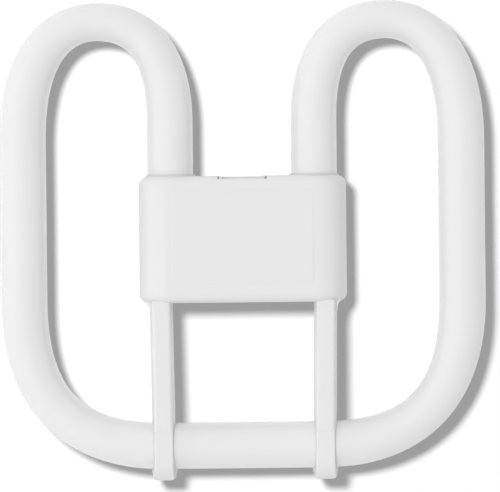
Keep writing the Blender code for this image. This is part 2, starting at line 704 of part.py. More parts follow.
def recess():
    """The lampholder's space, with a key rib left standing on its back wall."""
    space = tool("recess", box_mesh(
        (-RECESS_HALF_WIDTH, RECESS_FLOOR_Y, RECESS_BACK_WALL),
        (RECESS_HALF_WIDTH, BASE_TOP + CUT_PAST, RECESS_FRONT_Z)))
    key = tool("recess_key", box_mesh(
        (-KEY_HALF_WIDTH, RECESS_FLOOR_Y - CUT_PAST, RECESS_BACK_WALL - CUT_PAST),
        (KEY_HALF_WIDTH, BASE_TOP - KEY_HEIGHT, RECESS_BACK_WALL + KEY_HEIGHT)))
    cut(space, key)
    return space


# Arms with their hooks

def arm(side, parting):
    """One arm: a drafted channel, open at the back, with a gusset at its root and a hook at its end."""
    half = ARM_BACK_WIDTH / 2
    bm = box_mesh((-half, ARM_END_Y, parting), (half, BASE_BOTTOM + WALL / 2, ARM_FRONT_Z))
    for vert in bm.verts:
        if vert.co.z > TUBE_Z + SEAT_GAP:
            vert.co.x *= ARM_FRONT_WIDTH / ARM_BACK_WIDTH
        vert.co.x += side * (ARM_X if vert.co.y > BASE_BOTTOM else HOOK_X)
    bar = tool("arm_bar", bm)
    round_front_edges(bar, ARM_EDGE, 3)
    for vert in bar.data.vertices:
        if vert.co.z > TUBE_Z + SEAT_GAP and vert.co.y < BASE_BOTTOM:
            vert.co.z += ARM_RISE

    outer = side * (ARM_X + half)
    inner = outer - side * GUSSET_WIDTH
    outline = [(inner, BASE_BOTTOM + ROOT), (outer + side * GUSSET_WIDTH, BASE_BOTTOM + ROOT),
               (outer + side * GUSSET_WIDTH, BASE_BOTTOM), (outer, BASE_BOTTOM - GUSSET_LENGTH),
               (inner, BASE_BOTTOM - GUSSET_LENGTH)]
    gusset = tool("arm_gusset", prism_mesh(outline, "Z", parting, parting + GUSSET_HEIGHT))
    join(bar, gusset, hook(side))

    inside = ARM_FRONT_WIDTH / 2 - ARM_WALL
    first = BASE_BOTTOM - ARM_WALL
    last = FOOT_Y + SIDE_RADIUS + ARM_WALL
    bay = (first - last + ARM_WALL) / ARM_BAYS
    for i in range(ARM_BAYS):
        high = first - i * bay
        middle = side * (ARM_X + (HOOK_X - ARM_X) * (i + 0.5) / ARM_BAYS)
        cut(bar, tool("arm_hollow", box_mesh(
            (middle - inside, high - bay + ARM_WALL, parting - CUT_PAST),
            (middle + inside, high, ARM_FRONT_Z + i * ARM_RISE / ARM_BAYS - ARM_WALL))))
    return bar


def round_front_edges(obj, width, segments):
    """Round an object's two long front edges, which run along Y."""
    bm = bmesh.new()
    bm.from_mesh(obj.data)
    front = max(vert.co.z for vert in bm.verts)
    edges = [edge for edge in bm.edges
             if min(vert.co.z for vert in edge.verts) > front - SEAT_GAP
             and abs(edge.verts[0].co.y - edge.verts[1].co.y) > width]
    bmesh.ops.bevel(bm, geom=edges, offset=width, segments=segments, affect="EDGES", profile=0.5)
    bm.to_mesh(obj.data)
    bm.free()


def hook_side_view():
    """The hook as (y, z) pairs: a flat strap over the tube's front, which rounds down to a foot on the far
    side, then the grip below the foot with its lead-in. The tube's channel is cut from it later."""
    view = [Vector((-HOOK_ROOT, ARM_FRONT_Z + ARM_RISE - TUBE_Z)),
            Vector((HOOK_WALL / 2 - HOOK_ROOT, STRAP_RADIUS))]
    for i in range(HOOK_STEPS + 1):
        angle = math.radians(90.0 * i / HOOK_STEPS)
        view.append(Vector((HOOK_FLAT + (HOOK_REACH - HOOK_FLAT) * math.sin(angle),
                            STRAP_RADIUS - HOOK_BROW * (1.0 - math.cos(angle)))))
    tip = Vector((HOOK_REACH - FOOT_ROUND, 0.0))
    view += [tip + Vector((math.cos(a), -math.sin(a))) * FOOT_ROUND
             for a in (math.radians(30.0 * i) for i in range(4))]

    grip_z = -HOOK_GRIP - HOOK_WALL
    chamfer = 0.3 * HOOK_WALL
    view += [
        Vector((STRAP_RADIUS, -FOOT_ROUND - chamfer)),
        Vector((STRAP_RADIUS, grip_z + chamfer)),
        Vector((STRAP_RADIUS - chamfer, grip_z)),
        Vector((SIDE_RADIUS + SEAT_GAP + chamfer, grip_z)),
        Vector((GRIP_SHARE * SIDE_RADIUS, -HOOK_GRIP)),
        Vector((0.0, 0.0)),
        Vector((-SIDE_RADIUS / 2, SEAT_GAP)),
    ]
    return [(FOOT_Y - out, TUBE_Z + up) for out, up in view]


def hook(side):
    """The side view pushed across the arm and narrowed to its face, with round corners at the foot."""
    half = ARM_BACK_WIDTH / 2 + HOOK_OVERHANG
    foot = FOOT_Y - HOOK_REACH
    back = TUBE_Z - HOOK_GRIP - HOOK_WALL
    height = TUBE_Z + STRAP_RADIUS - back
    bm = prism_mesh(hook_side_view(), "X", -half, half)
    for vert in bm.verts:
        narrowing = (half - ARM_FRONT_WIDTH / 2) * (vert.co.z - back) / height
        vert.co.x += side * HOOK_X - math.copysign(narrowing, vert.co.x)
    body = tool("arm_hook", bm)
    bevel(body, HOOK_EDGE, 2, 60.0)

    plan = box_mesh((side * HOOK_X - half, foot, TUBE_Z - STRAP_RADIUS - CUT_PAST),
                    (side * HOOK_X + half, FOOT_Y + STRAP_RADIUS, TUBE_Z + STRAP_RADIUS + CUT_PAST))
    corners = [edge for edge in plan.edges
               if max(vert.co.y for vert in edge.verts) < FOOT_Y
               and abs(edge.verts[0].co.z - edge.verts[1].co.z) > STRAP_RADIUS]
    bmesh.ops.bevel(plan, geom=corners, offset=HOOK_CORNER, segments=5, affect="EDGES", profile=0.5)
    boolean(body, "INTERSECT", tool("hook_plan", plan))
    return body


def hook_channel(side):
    half = ARM_BACK_WIDTH / 2 + HOOK_OVERHANG + CUT_PAST
    return tool("hook_channel", rod_mesh(
        (side * HOOK_X - half, FOOT_Y, TUBE_Z), (side * HOOK_X + half, FOOT_Y, TUBE_Z),
        SIDE_RADIUS + SEAT_GAP, sides=48))


# Collars, pins and starter

def build_collar(side):
    inner = LEG_RADIUS + SEAT_GAP
    ring = mesh_object(f"seal_collar_{SIDE_NAMES[side]}", rod_mesh(
        (side * LEG_X, COLLAR_BOTTOM_Y, TUBE_Z), (side * LEG_X, COLLAR_TOP_Y, TUBE_Z),
        inner + COLLAR_WALL, sides=32), PARTS)
    cut(ring, leg_channel(side, inner, COLLAR_BOTTOM_Y - CUT_PAST, COLLAR_TOP_Y + CUT_PAST))
    finish_part(ring, MATERIAL["silicone"], 40)


def build_pin(side):
    """A turned pin that points out of the recess, with a collar behind the web and a bored tail."""
    tail_bore = TUBE_LEAD_RADIUS + WIRE_GAP
    behind = -WEB - SEAT_GAP
    profile = [
        (0.0, PIN_LENGTH),
        (0.55 * PIN_RADIUS, PIN_LENGTH - 0.1 * PIN_RADIUS),
        (PIN_RADIUS, PIN_LENGTH - 0.7 * PIN_RADIUS),
        (PIN_RADIUS, behind),
        (PIN_COLLAR_RADIUS, behind),
        (PIN_COLLAR_RADIUS, behind - PIN_COLLAR),
        (PIN_RADIUS, behind - PIN_COLLAR),
        (PIN_RADIUS, behind - PIN_TAIL),
        (tail_bore, behind - PIN_TAIL),
        (tail_bore, behind - PIN_TAIL + PIN_BORE_DEPTH),
        (0.0, behind - PIN_TAIL + PIN_BORE_DEPTH),
    ]
    place = (side * PIN_SPACING / 2, RECESS_FLOOR_Y, PIN_Z)
    pin = turned_object(f"contact_pin_{SIDE_NAMES[side]}", profile, place, (0.0, 1.0, 0.0), PARTS)
    finish_part(pin, MATERIAL["nickel_brass"])


def build_wire(name, route, side, radius):
    """A lead through its route's points, which are given for the +X side."""
    points = [(side * x, y, z) for x, y, z in route]
    curve = bpy.data.curves.new(name, "CURVE")
    curve.dimensions = "3D"
    curve.resolution_u = 4
    curve.bevel_depth = radius
    curve.bevel_resolution = 1
    curve.use_fill_caps = True
    spline = curve.splines.new("BEZIER")
    spline.bezier_points.add(len(points) - 1)
    for point, place in zip(spline.bezier_points, points):
        point.co = place
        point.handle_left_type = "AUTO"
        point.handle_right_type = "AUTO"
    wire = mesh_from_curve(name, add_object(name, curve, PARTS), PARTS)
    wire.name = name
    finish_part(wire, MATERIAL["tinned_copper"], 60)


def build_leads(side):
    """The four leads of one side. Each route's first and last points lie inside bores."""
    name = SIDE_NAMES[side]
    seal_y = LEG_END_Y + LEAD_BORE_DEPTH - WIRE_GAP
    leave_y = LEG_END_Y - LEAD_EXIT
    turn_y = LEG_END_Y - 5 * LEAD_EXIT
    inner_x = LEG_X - LEAD_SPACING / 2
    outer_x = LEG_X + LEAD_SPACING / 2
    pin_x = PIN_SPACING / 2
    tail_y = WEB_BACK_Y - SEAT_GAP - PIN_TAIL
    across = inner_x - pin_x
    route = [
        (inner_x, seal_y, TUBE_Z),
        (inner_x, leave_y, TUBE_Z),
        (inner_x - across / 16, turn_y, TUBE_Z - LEAD_SAG / 4),
        (inner_x - across / 3, turn_y - LEAD_EXIT, PIN_Z - LEAD_SAG / 2),
        (pin_x + across / 5, LEG_END_Y + LEAD_EXIT, PIN_Z - LEAD_SAG),
        (pin_x + LEAD_EXIT / 2, tail_y - LEAD_SAG, PIN_Z - LEAD_SAG / 4),
        (pin_x, tail_y - LEAD_EXIT, PIN_Z),
        (pin_x, tail_y + PIN_BORE_DEPTH - WIRE_GAP, PIN_Z),
    ]
    build_wire(f"pin_lead_{name}", route, side, TUBE_LEAD_RADIUS)

    inner_end = FERRULE_X - FERRULE_LENGTH / 2
    outer_end = FERRULE_X + FERRULE_LENGTH / 2
    route = [
        (outer_x, seal_y, TUBE_Z),
        (outer_x, leave_y, TUBE_Z),
        (outer_x - LEAD_EXIT, turn_y, (3 * TUBE_Z + FERRULE_Z) / 4),
        (outer_x - (outer_x - outer_end) / 3, FERRULE_Y - LEAD_EXIT / 2, FERRULE_Z),
        (outer_end + 4 * LEAD_EXIT, FERRULE_Y, FERRULE_Z),
        (outer_end + LEAD_EXIT / 2, FERRULE_Y, FERRULE_Z),
        (FERRULE_X + LEAD_EXIT / 2, FERRULE_Y, FERRULE_Z),
    ]
    build_wire(f"starter_lead_{name}", route, side, TUBE_LEAD_RADIUS)

    bottle_x = BOTTLE_LEAD_SPACING / 2
    upper = FERRULE_Z + WIRE_PAIR / 2
    route = [
        (bottle_x, BOTTLE_BOTTOM_Y + STARTER_BORE_DEPTH - WIRE_GAP, BOTTLE_Z),
        (bottle_x, BOTTLE_BOTTOM_Y - LEAD_EXIT / 2, BOTTLE_Z),
        (bottle_x + LEAD_EXIT, FERRULE_Y + LEAD_EXIT, upper),
        (inner_end - LEAD_EXIT, FERRULE_Y, upper),
        (FERRULE_X - LEAD_EXIT / 2, FERRULE_Y, upper),
    ]
    build_wire(f"bottle_lead_{name}", route, side, WIRE_RADIUS)

    capacitor_x = CAPACITOR_LEAD_SPACING / 2
    lower = FERRULE_Z - WIRE_PAIR / 2
    middle_z = (CAPACITOR_TOP_Z + lower) / 2
    route = [
        (capacitor_x, CAPACITOR_Y, CAPACITOR_TOP_Z - STARTER_BORE_DEPTH + WIRE_GAP),
        (capacitor_x, CAPACITOR_Y, CAPACITOR_TOP_Z + LEAD_EXIT / 2),
        (capacitor_x + LEAD_EXIT / 2, (2 * CAPACITOR_Y + FERRULE_Y) / 3, middle_z),
        (inner_end - 1.6 * LEAD_EXIT, FERRULE_Y - LEAD_EXIT / 2, lower),
        (inner_end - LEAD_EXIT / 4, FERRULE_Y, lower),
        (FERRULE_X - LEAD_EXIT / 2, FERRULE_Y, lower),
    ]
    build_wire(f"capacitor_lead_{name}", route, side, WIRE_RADIUS)


def build_ferrule(side):
    half = FERRULE_LENGTH / 2
    outer = FERRULE_BORE + FERRULE_WALL
    profile = [(outer, half), (outer, -half), (FERRULE_BORE, -half), (FERRULE_BORE, half), (outer, half)]
    place = (side * FERRULE_X, FERRULE_Y, FERRULE_Z)
    ferrule = turned_object(
        f"crimp_ferrule_{SIDE_NAMES[side]}", profile, place, (1.0, 0.0, 0.0), PARTS)
    finish_part(ferrule, MATERIAL["tinned_copper"])


def build_bottle():
    """The glow bottle: a domed glass tube with its leads in the pinched end."""
    profile = []
    for degrees in range(0, 91, 18):
        angle = math.radians(degrees)
        profile.append((BOTTLE_RADIUS * math.sin(angle),
                        BOTTLE_LENGTH - BOTTLE_RADIUS * (1.0 - math.cos(angle))))
    profile += [(BOTTLE_RADIUS, 0.3 * BOTTLE_RADIUS), (0.8 * BOTTLE_RADIUS, 0.0), (0.0, 0.0)]
    place = (0.0, BOTTLE_BOTTOM_Y, BOTTLE_Z)
    bottle = turned_object("starter_bottle", profile, place, (0.0, 1.0, 0.0), PARTS)
    for side in (-1.0, 1.0):
        x = side * BOTTLE_LEAD_SPACING / 2
        cut(bottle, tool("bottle_bore", rod_mesh(
            (x, BOTTLE_BOTTOM_Y - CUT_PAST, BOTTLE_Z), (x, BOTTLE_BOTTOM_Y + STARTER_BORE_DEPTH, BOTTLE_Z),
            WIRE_RADIUS + WIRE_GAP, sides=8)))
    finish_part(bottle, MATERIAL["clear_glass"])


def build_capacitor():
    half_x = CAPACITOR_WIDTH / 2
    half_y = CAPACITOR_DEPTH / 2
    body = mesh_object("starter_capacitor", box_mesh(
        (-half_x, CAPACITOR_Y - half_y, CAPACITOR_TOP_Z - CAPACITOR_HEIGHT),
        (half_x, CAPACITOR_Y + half_y, CAPACITOR_TOP_Z)), PARTS)
    bevel(body, CAPACITOR_EDGE, 2)
    for side in (-1.0, 1.0):
        x = side * CAPACITOR_LEAD_SPACING / 2
        cut(body, tool("capacitor_bore", rod_mesh(
            (x, CAPACITOR_Y, CAPACITOR_TOP_Z - STARTER_BORE_DEPTH),
            (x, CAPACITOR_Y, CAPACITOR_TOP_Z + CUT_PAST),
            WIRE_RADIUS + WIRE_GAP, sides=8)))
    finish_part(body, MATERIAL["capacitor_resin"])


SIDE_NAMES = {-1.0: "left", 1.0: "right"}

clear_scene()
PARTS = new_collection("square_fluorescent_lamp")
CUTTERS = new_collection("cutters")
MATERIAL = make_materials()

build_tube()
build_front_shell()
build_rear_shell()
build_bottle()
build_capacitor()
for lamp_side in (-1.0, 1.0):
    build_collar(lamp_side)
    build_pin(lamp_side)
    build_ferrule(lamp_side)
    build_leads(lamp_side)
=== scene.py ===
"""Square compact fluorescent lamp, dressed for its picture: drawn opal glass, a satin white base with
its clip arms, silicone collars and nickelled pins, on a white table under soft light.

The lamp lies on its back, as packed: +Z is its front, +Y points from the arms to the cap's opening.
Lengths are in metres.
"""

import math

import bmesh
import bpy
from mathutils import Matrix, Vector
from mathutils.geometry import interpolate_bezier


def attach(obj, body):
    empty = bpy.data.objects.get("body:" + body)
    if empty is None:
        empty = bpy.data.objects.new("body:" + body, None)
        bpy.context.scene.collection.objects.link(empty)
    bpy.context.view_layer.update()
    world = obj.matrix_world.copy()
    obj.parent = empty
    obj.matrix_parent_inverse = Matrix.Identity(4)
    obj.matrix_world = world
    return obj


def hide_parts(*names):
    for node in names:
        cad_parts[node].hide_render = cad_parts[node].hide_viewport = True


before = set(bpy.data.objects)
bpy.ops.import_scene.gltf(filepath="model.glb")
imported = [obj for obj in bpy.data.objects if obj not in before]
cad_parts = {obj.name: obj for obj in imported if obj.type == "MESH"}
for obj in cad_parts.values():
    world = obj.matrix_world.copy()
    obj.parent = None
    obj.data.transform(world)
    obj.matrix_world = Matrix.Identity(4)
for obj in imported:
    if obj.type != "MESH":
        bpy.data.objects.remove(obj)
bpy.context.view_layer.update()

MM = 0.001
TUBE_Z = 18.0 * MM

# Discharge tube
SIDE_X = 93.6 * MM
LEG_X = 30.7 * MM
CROWN = Vector((61.5, 93.85)) * MM
FOOT_Y = -87.4 * MM
LEG_END_Y = -8.0 * MM
INNER_BEND_Y = 51.6 * MM
OUTER_BEND_Y = 43.0 * MM
CORNER_BEND_Y = -25.3 * MM
CORNER_BEND_X = 34.2 * MM
SIDE_RADIUS = 9.9 * MM
LEG_RADIUS = 9.75 * MM
CROWN_RADIUS = 8.15 * MM
CORNER_RADIUS = 9.15 * MM
GLASS_SIDES = 64
SEALED_END_SHARE = 0.45         # of the leg's radius, where the sealed end starts
SEALED_END_LENGTH = 5.0 * MM
INNER_HANDLES = (0.5, 0.78)     # shares of each bend's rise and width, at its start and end
OUTER_HANDLES = (0.55, 0.71)
CORNER_HANDLES = (0.69, 0.645)

# Base
BASE_HALF_WIDTH = 44.25 * MM
BASE_ROUND = 12.75 * MM
BASE_TOP = 27.5 * MM
BASE_BOTTOM = -26.4 * MM
BASE_EDGE = 3.9 * MM
BASE_ROUND_STEPS = 48
WALL = 1.8 * MM
BACK_Z = TUBE_Z - BASE_ROUND
FRONT_Z = TUBE_Z + BASE_ROUND
INNER_FRONT_Z = FRONT_Z - WALL
PARTING_GAP = 0.14 * MM
PARTING_LIP = 0.8 * MM
LIP_ROOT = 2.0 * MM
LIP_RISE = 1.0 * MM
LIP_OVERLAP = 0.1 * MM
MOUTH_RADIUS = LEG_RADIUS + 0.65 * MM
PANEL_HALF_WIDTH = 30.05 * MM
PANEL_TOP = 21.35 * MM
PANEL_BOTTOM = -18.2 * MM
PANEL_CORNER = 1.6 * MM
PANEL_RISE = 0.16 * MM
NOTCH_DEPTH = 1.35 * MM
NOTCH_GAP = 0.4 * MM
SEAT_GAP = 0.3 * MM
CUT_PAST = 2.0 * MM

# Plateau and cap on the back
PLATEAU_HALF_WIDTH = 21.0 * MM
PLATEAU_BOTTOM = -18.6 * MM
PLATEAU_CORNER = 3.0 * MM
PLATEAU_DRAFT = 0.9 * MM
PLATEAU_EDGE = 0.7 * MM
PLATEAU_HOLLOW_RISE = 3.0 * MM
RECESS_HALF_WIDTH = 8.5 * MM
RECESS_FLOOR_Y = 13.8 * MM
RECESS_BACK_Z = 2.0 * MM
RECESS_FRONT_Z = 27.0 * MM
WELL_HALF_WIDTH = 10.0 * MM
WELL_FRONT_Z = 28.5 * MM
WELL_CORNER = 1.2 * MM
WEB = 1.8 * MM
KEY_HALF_WIDTH = 1.5 * MM
KEY_RISE = 1.2 * MM
KEY_EDGE = 0.4 * MM
PIN_SPACING = 8.0 * MM
PIN_RADIUS = 1.2 * MM
PIN_HOLE_GAP = 0.15 * MM
PIN_Z = 14.5 * MM
PIN_PROFILE = [                 # radius and height in millimetres, from the tail to the tip
    (0.0, -7.9), (0.9, -7.9), (1.2, -7.6), (1.2, -2.9), (1.8, -2.9), (1.8, -2.1), (1.2, -2.1),
    (1.2, 0.45), (1.08, 0.55), (1.08, 0.75), (1.2, 0.85), (1.2, 6.2), (1.14, 6.55), (0.98, 6.8),
    (0.7, 6.94), (0.35, 7.0), (0.0, 7.0),
]

# Collars
COLLAR_LENGTH = 4.6 * MM
COLLAR_WALL = 0.55 * MM
COLLAR_GAP = 0.12 * MM
COLLAR_LIP = 0.16 * MM

# Arms and hooks
ARM_X = 35.1 * MM
HOOK_X = 34.4 * MM
ARM_BACK_WIDTH = 9.8 * MM
ARM_FRONT_WIDTH = 7.8 * MM
ARM_SET_BACK = 2.65 * MM
ARM_RISE = 1.5 * MM
ARM_WALL = 1.6 * MM
ARM_EDGE = 1.3 * MM
ARM_BAYS = 3
GUSSET_WIDTH = 1.2 * MM
GUSSET_LENGTH = 3.8 * MM
GUSSET_HEIGHT = 6.0 * MM
HOOK_WALL = 1.9 * MM
HOOK_OVERHANG = 0.6 * MM
HOOK_REACH = 14.6 * MM
HOOK_GRIP = 5.0 * MM
HOOK_ROOT = 6.6 * MM
HOOK_FLAT = 6.0 * MM
HOOK_BROW = 9.0 * MM
HOOK_CORNER = 3.2 * MM
HOOK_EDGE = 0.8 * MM
HOOK_SEAT_GAP = 0.12 * MM
FOOT_ROUND = 1.8 * MM
STRAP_RADIUS = SIDE_RADIUS + SEAT_GAP + HOOK_WALL
ARM_FRONT_Z = FRONT_Z - ARM_SET_BACK
ARM_END_Y = FOOT_Y + HOOK_ROOT - HOOK_WALL

# Picture
CAMERA_HEIGHT = 2.0
MILLIMETRES_PER_PIXEL = 0.427
PICTURE_WIDTH = 500
SENSOR_WIDTH = 36.0
CAMERA_OVER = Vector((3.05, -2.45)) * MM
CAMERA_ROLL = math.radians(-0.6)
TABLE_HALF_WIDTH = 6.0
TABLE_SQUARES = 40
TABLE_SHIFT = Vector((0.25, 0.2))
TABLE_DROP = 0.1 * MM
SHADOW_SLOPE = Vector((0.225, -0.20))
SHADOW_LAMP_WIDTH = 0.36
SHADOW_LAMP_WATTS = 325.0
TABLE_IN_SHADOW = 0.27
TABLE_FADE = (0.3, 0.9)
TABLE_COLOUR = 0.10
TABLE_GLOW = 0.84
WINDOWS = [                     # strength, spread in degrees, and the way the light travels
    (0.88, 7.5, (0.225, -0.20, -1.0)),
    (0.10, 25.0, (1.0, -0.20, -1.0)),
    (0.10, 20.0, (1.0, -0.10, -0.36)),
]
ROOM_BANDS = [                  # height from and to, then the strength at left, right, top and bottom
    (0.05, 0.35, (2.25, 0.00, 0.00, 0.50)),
    (0.45, 0.75, (0.00, 0.40, 0.92, 0.90)),
]
ROOM_CEILING = 0.76


# Meshes

def object_from(name, bm):
    bmesh.ops.recalc_face_normals(bm, faces=bm.faces)
    mesh = bpy.data.meshes.new(name)
    bm.to_mesh(mesh)
    bm.free()
    obj = bpy.data.objects.new(name, mesh)
    bpy.context.scene.collection.objects.link(obj)
    return obj


def settle(obj):
    """Turn an object and its live modifiers into one plain mesh."""
    bpy.context.view_layer.update()
    graph = bpy.context.evaluated_depsgraph_get()
    mesh = bpy.data.meshes.new_from_object(obj.evaluated_get(graph), depsgraph=graph)
    mesh.name = obj.name
    plain = bpy.data.objects.new(obj.name, mesh)
    bpy.context.scene.collection.objects.link(plain)
    name = obj.name
    remove(obj)
    plain.name = name
    return plain


def remove(*objects):
    for obj in objects:
        bpy.data.objects.remove(obj, do_unlink=True)


def combine(obj, operation, others):
    """Join solids to one body, or cut them from it, and drop them."""
    for other in others:
        modifier = obj.modifiers.new(operation, "BOOLEAN")
        modifier.operation = operation
        modifier.solver = "EXACT"
        modifier.object = other
    obj = settle(obj)
    remove(*others)
    return obj


def round_edges(obj, width, segments, angle):
    modifier = obj.modifiers.new("Rounded edges", "BEVEL")
    modifier.width = width
    modifier.segments = segments
    modifier.limit_method = "ANGLE"
    modifier.angle_limit = math.radians(angle)


def smooth_moulding(obj, angle=32.0):
    """Shade a moulding round, with its flats kept flat right up to their rounded edges."""
    obj.data.shade_smooth()
    obj.data.set_sharp_from_angle(angle=math.radians(angle))
    weighted = obj.modifiers.new("Flats lead", "WEIGHTED_NORMAL")
    weighted.keep_sharp = True
    weighted.weight = 50
    return settle(obj)


def box_mesh(low, high):
    low, high = Vector(low), Vector(high)
    bm = bmesh.new()
    bmesh.ops.create_cube(bm, size=1.0)
    bmesh.ops.transform(bm, matrix=Matrix.Diagonal((*(high - low), 1.0)), verts=bm.verts)
    bmesh.ops.translate(bm, vec=(low + high) / 2, verts=bm.verts)
    return bm


def box(name, low, high):
    return object_from(name, box_mesh(low, high))


def rod(name, start, end, radius, sides=64):
    start, end = Vector(start), Vector(end)
    axis = end - start
    bm = bmesh.new()
    bmesh.ops.create_cone(bm, cap_ends=True, segments=sides, radius1=radius, radius2=radius,
                          depth=axis.length)
    turn = Vector((0.0, 0.0, 1.0)).rotation_difference(axis).to_matrix().to_4x4()
    bmesh.ops.transform(bm, matrix=Matrix.Translation((start + end) / 2) @ turn, verts=bm.verts)
    return object_from(name, bm)


def prism(name, outline, along, start, end):
    """A closed outline pushed along X, Y or Z; the outline gives the other two coordinates."""
    bm = bmesh.new()
    corners = []
    for first, second in outline:
        place = {"X": (start, first, second), "Y": (first, start, second), "Z": (first, second, start)}
        corners.append(bm.verts.new(place[along]))
    pushed = bmesh.ops.extrude_face_region(bm, geom=[bm.faces.new(corners)])
    moved = [item for item in pushed["geom"] if isinstance(item, bmesh.types.BMVert)]
    step = {"X": (end - start, 0, 0), "Y": (0, end - start, 0), "Z": (0, 0, end - start)}[along]
    bmesh.ops.translate(bm, vec=step, verts=moved)
    return object_from(name, bm)


def round_front_edges(obj, width, segments):
    """Round the two long front edges, which run along Y."""
    bm = bmesh.new()
    bm.from_mesh(obj.data)
    front = max(vert.co.z for vert in bm.verts)
    edges = [edge for edge in bm.edges
             if min(vert.co.z for vert in edge.verts) > front - SEAT_GAP
             and abs(edge.verts[0].co.y - edge.verts[1].co.y) > width]
    bmesh.ops.bevel(bm, geom=edges, offset=width, segments=segments, affect="EDGES", profile=0.5)
    bm.to_mesh(obj.data)
    bm.free()


# Nodes

def wire(tree, *pairs):
    for source, target in pairs:
        tree.links.new(source, target)


def maths(tree, operation, first, second):
    node = tree.nodes.new("ShaderNodeMath")
    node.operation = operation
    for socket, value in zip(node.inputs, (first, second)):
        if isinstance(value, (int, float)):
            socket.default_value = value
        else:
            tree.links.new(value, socket)
    return node.outputs[0]


def spread(tree, value, low, high, to_low, to_high):
    """Map a value from one range to another."""
    node = tree.nodes.new("ShaderNodeMapRange")
    for name, number in zip(("From Min", "From Max", "To Min", "To Max"), (low, high, to_low, to_high)):
        node.inputs[name].default_value = number
    tree.links.new(value, node.inputs["Value"])
    return node.outputs["Result"]


def new_group(name, inputs, outputs):
    group = bpy.data.node_groups.new(name, "ShaderNodeTree")
    for label, kind, value in inputs:
        socket = group.interface.new_socket(label, in_out="INPUT", socket_type=kind)
        socket.default_value = value
    for label, kind in outputs:
        group.interface.new_socket(label, in_out="OUTPUT", socket_type=kind)
    return group, group.nodes.new("NodeGroupInput").outputs, group.nodes.new("NodeGroupOutput").inputs


def make_tone_drift():
    """A colour that drifts a little lighter and darker over a few centimetres."""
    group, given, result = new_group(
        "tone_drift",
        [("Colour", "NodeSocketColor", (0.8, 0.8, 0.8, 1.0)), ("Scale", "NodeSocketFloat", 30.0),
         ("Drift", "NodeSocketFloat", 0.02)],
        [("Colour", "NodeSocketColor"), ("Patches", "NodeSocketFloat")])
    place = group.nodes.new("ShaderNodeTexCoord").outputs["Object"]
    patches = group.nodes.new("ShaderNodeTexNoise")
    patches.inputs["Detail"].default_value = 3.0
    wire(group, (place, patches.inputs["Vector"]), (given["Scale"], patches.inputs["Scale"]))
    shift = maths(group, "MULTIPLY", maths(group, "SUBTRACT", patches.outputs["Fac"], 0.5), 2.0)
    level = maths(group, "ADD", maths(group, "MULTIPLY", shift, given["Drift"]), 1.0)
    scaled = group.nodes.new("ShaderNodeVectorMath")
    scaled.operation = "SCALE"
    wire(group, (given["Colour"], scaled.inputs[0]), (level, scaled.inputs["Scale"]),
         (scaled.outputs[0], result["Colour"]), (patches.outputs["Fac"], result["Patches"]))
    return group


def make_moulded_skin():
    """Spark-eroded mould texture over slow waves where the plastic sank as it cooled."""
    group, given, result = new_group(
        "moulded_skin",
        [("Grain", "NodeSocketFloat", 1800.0), ("Waves", "NodeSocketFloat", 45.0),
         ("Wave Share", "NodeSocketFloat", 0.5)],
        [("Height", "NodeSocketFloat"), ("Gloss Patches", "NodeSocketFloat")])
    place = group.nodes.new("ShaderNodeTexCoord").outputs["Object"]
    fine = group.nodes.new("ShaderNodeTexNoise")
    slow = group.nodes.new("ShaderNodeTexNoise")
    for node, name in ((fine, "Grain"), (slow, "Waves")):
        wire(group, (place, node.inputs["Vector"]), (given[name], node.inputs["Scale"]))
    waves = maths(group, "MULTIPLY", slow.outputs["Fac"], given["Wave Share"])
    wire(group, (maths(group, "ADD", waves, fine.outputs["Fac"]), result["Height"]),
         (slow.outputs["Fac"], result["Gloss Patches"]))
    return group


def place_group(tree, group, **values):
    node = tree.nodes.new("ShaderNodeGroup")
    node.node_tree = group
    for name, value in values.items():
        node.inputs[name.replace("_", " ")].default_value = value
    return node.outputs


def new_material(name, **values):
    """A material whose shader has these plain values on its own sockets."""
    material = bpy.data.materials.new(name)
    material.use_nodes = True
    shader = material.node_tree.nodes["Principled BSDF"].inputs
    for label, value in values.items():
        shader[label.replace("_", " ")].default_value = value
    return material, material.node_tree, shader


def bump(tree, height, distance, strength, shader):
    node = tree.nodes.new("ShaderNodeBump")
    node.inputs["Distance"].default_value = distance
    node.inputs["Strength"].default_value = strength
    wire(tree, (height, node.inputs["Height"]), (node.outputs["Normal"], shader["Normal"]))


def opal_glass():
    """Glossy glass over a powder coat that is slightly uneven."""
    material, tree, shader = new_material(
        "opal_glass", IOR=1.5, Coat_Weight=0.35, Coat_Roughness=0.12, Subsurface_Weight=0.2,
        Subsurface_Scale=0.004)
    shader["Subsurface Radius"].default_value = (1.0, 1.0, 1.0)
    coat = place_group(tree, TONE_DRIFT, Colour=(0.80, 0.80, 0.80, 1.0), Scale=26.0, Drift=0.012)
    skin = place_group(tree, MOULDED_SKIN, Grain=240.0, Waves=38.0, Wave_Share=2.5)
    wire(tree, (coat["Colour"], shader["Base Color"]),
         (spread(tree, coat["Patches"], 0.3, 0.7, 0.29, 0.36), shader["Roughness"]))
    bump(tree, skin["Height"], 0.00012, 0.25, shader)
    return material


def white_plastic():
    """Satin white thermoplastic."""
    material, tree, shader = new_material("white_plastic", IOR=1.48)
    tone = place_group(tree, TONE_DRIFT, Colour=(0.785, 0.785, 0.785, 1.0), Scale=34.0, Drift=0.008)
    skin = place_group(tree, MOULDED_SKIN, Grain=2600.0, Waves=55.0, Wave_Share=1.5)
    wire(tree, (tone["Colour"], shader["Base Color"]),
         (spread(tree, skin["Gloss Patches"], 0.3, 0.7, 0.42, 0.50), shader["Roughness"]))
    bump(tree, skin["Height"], 0.00006, 0.3, shader)
    return material


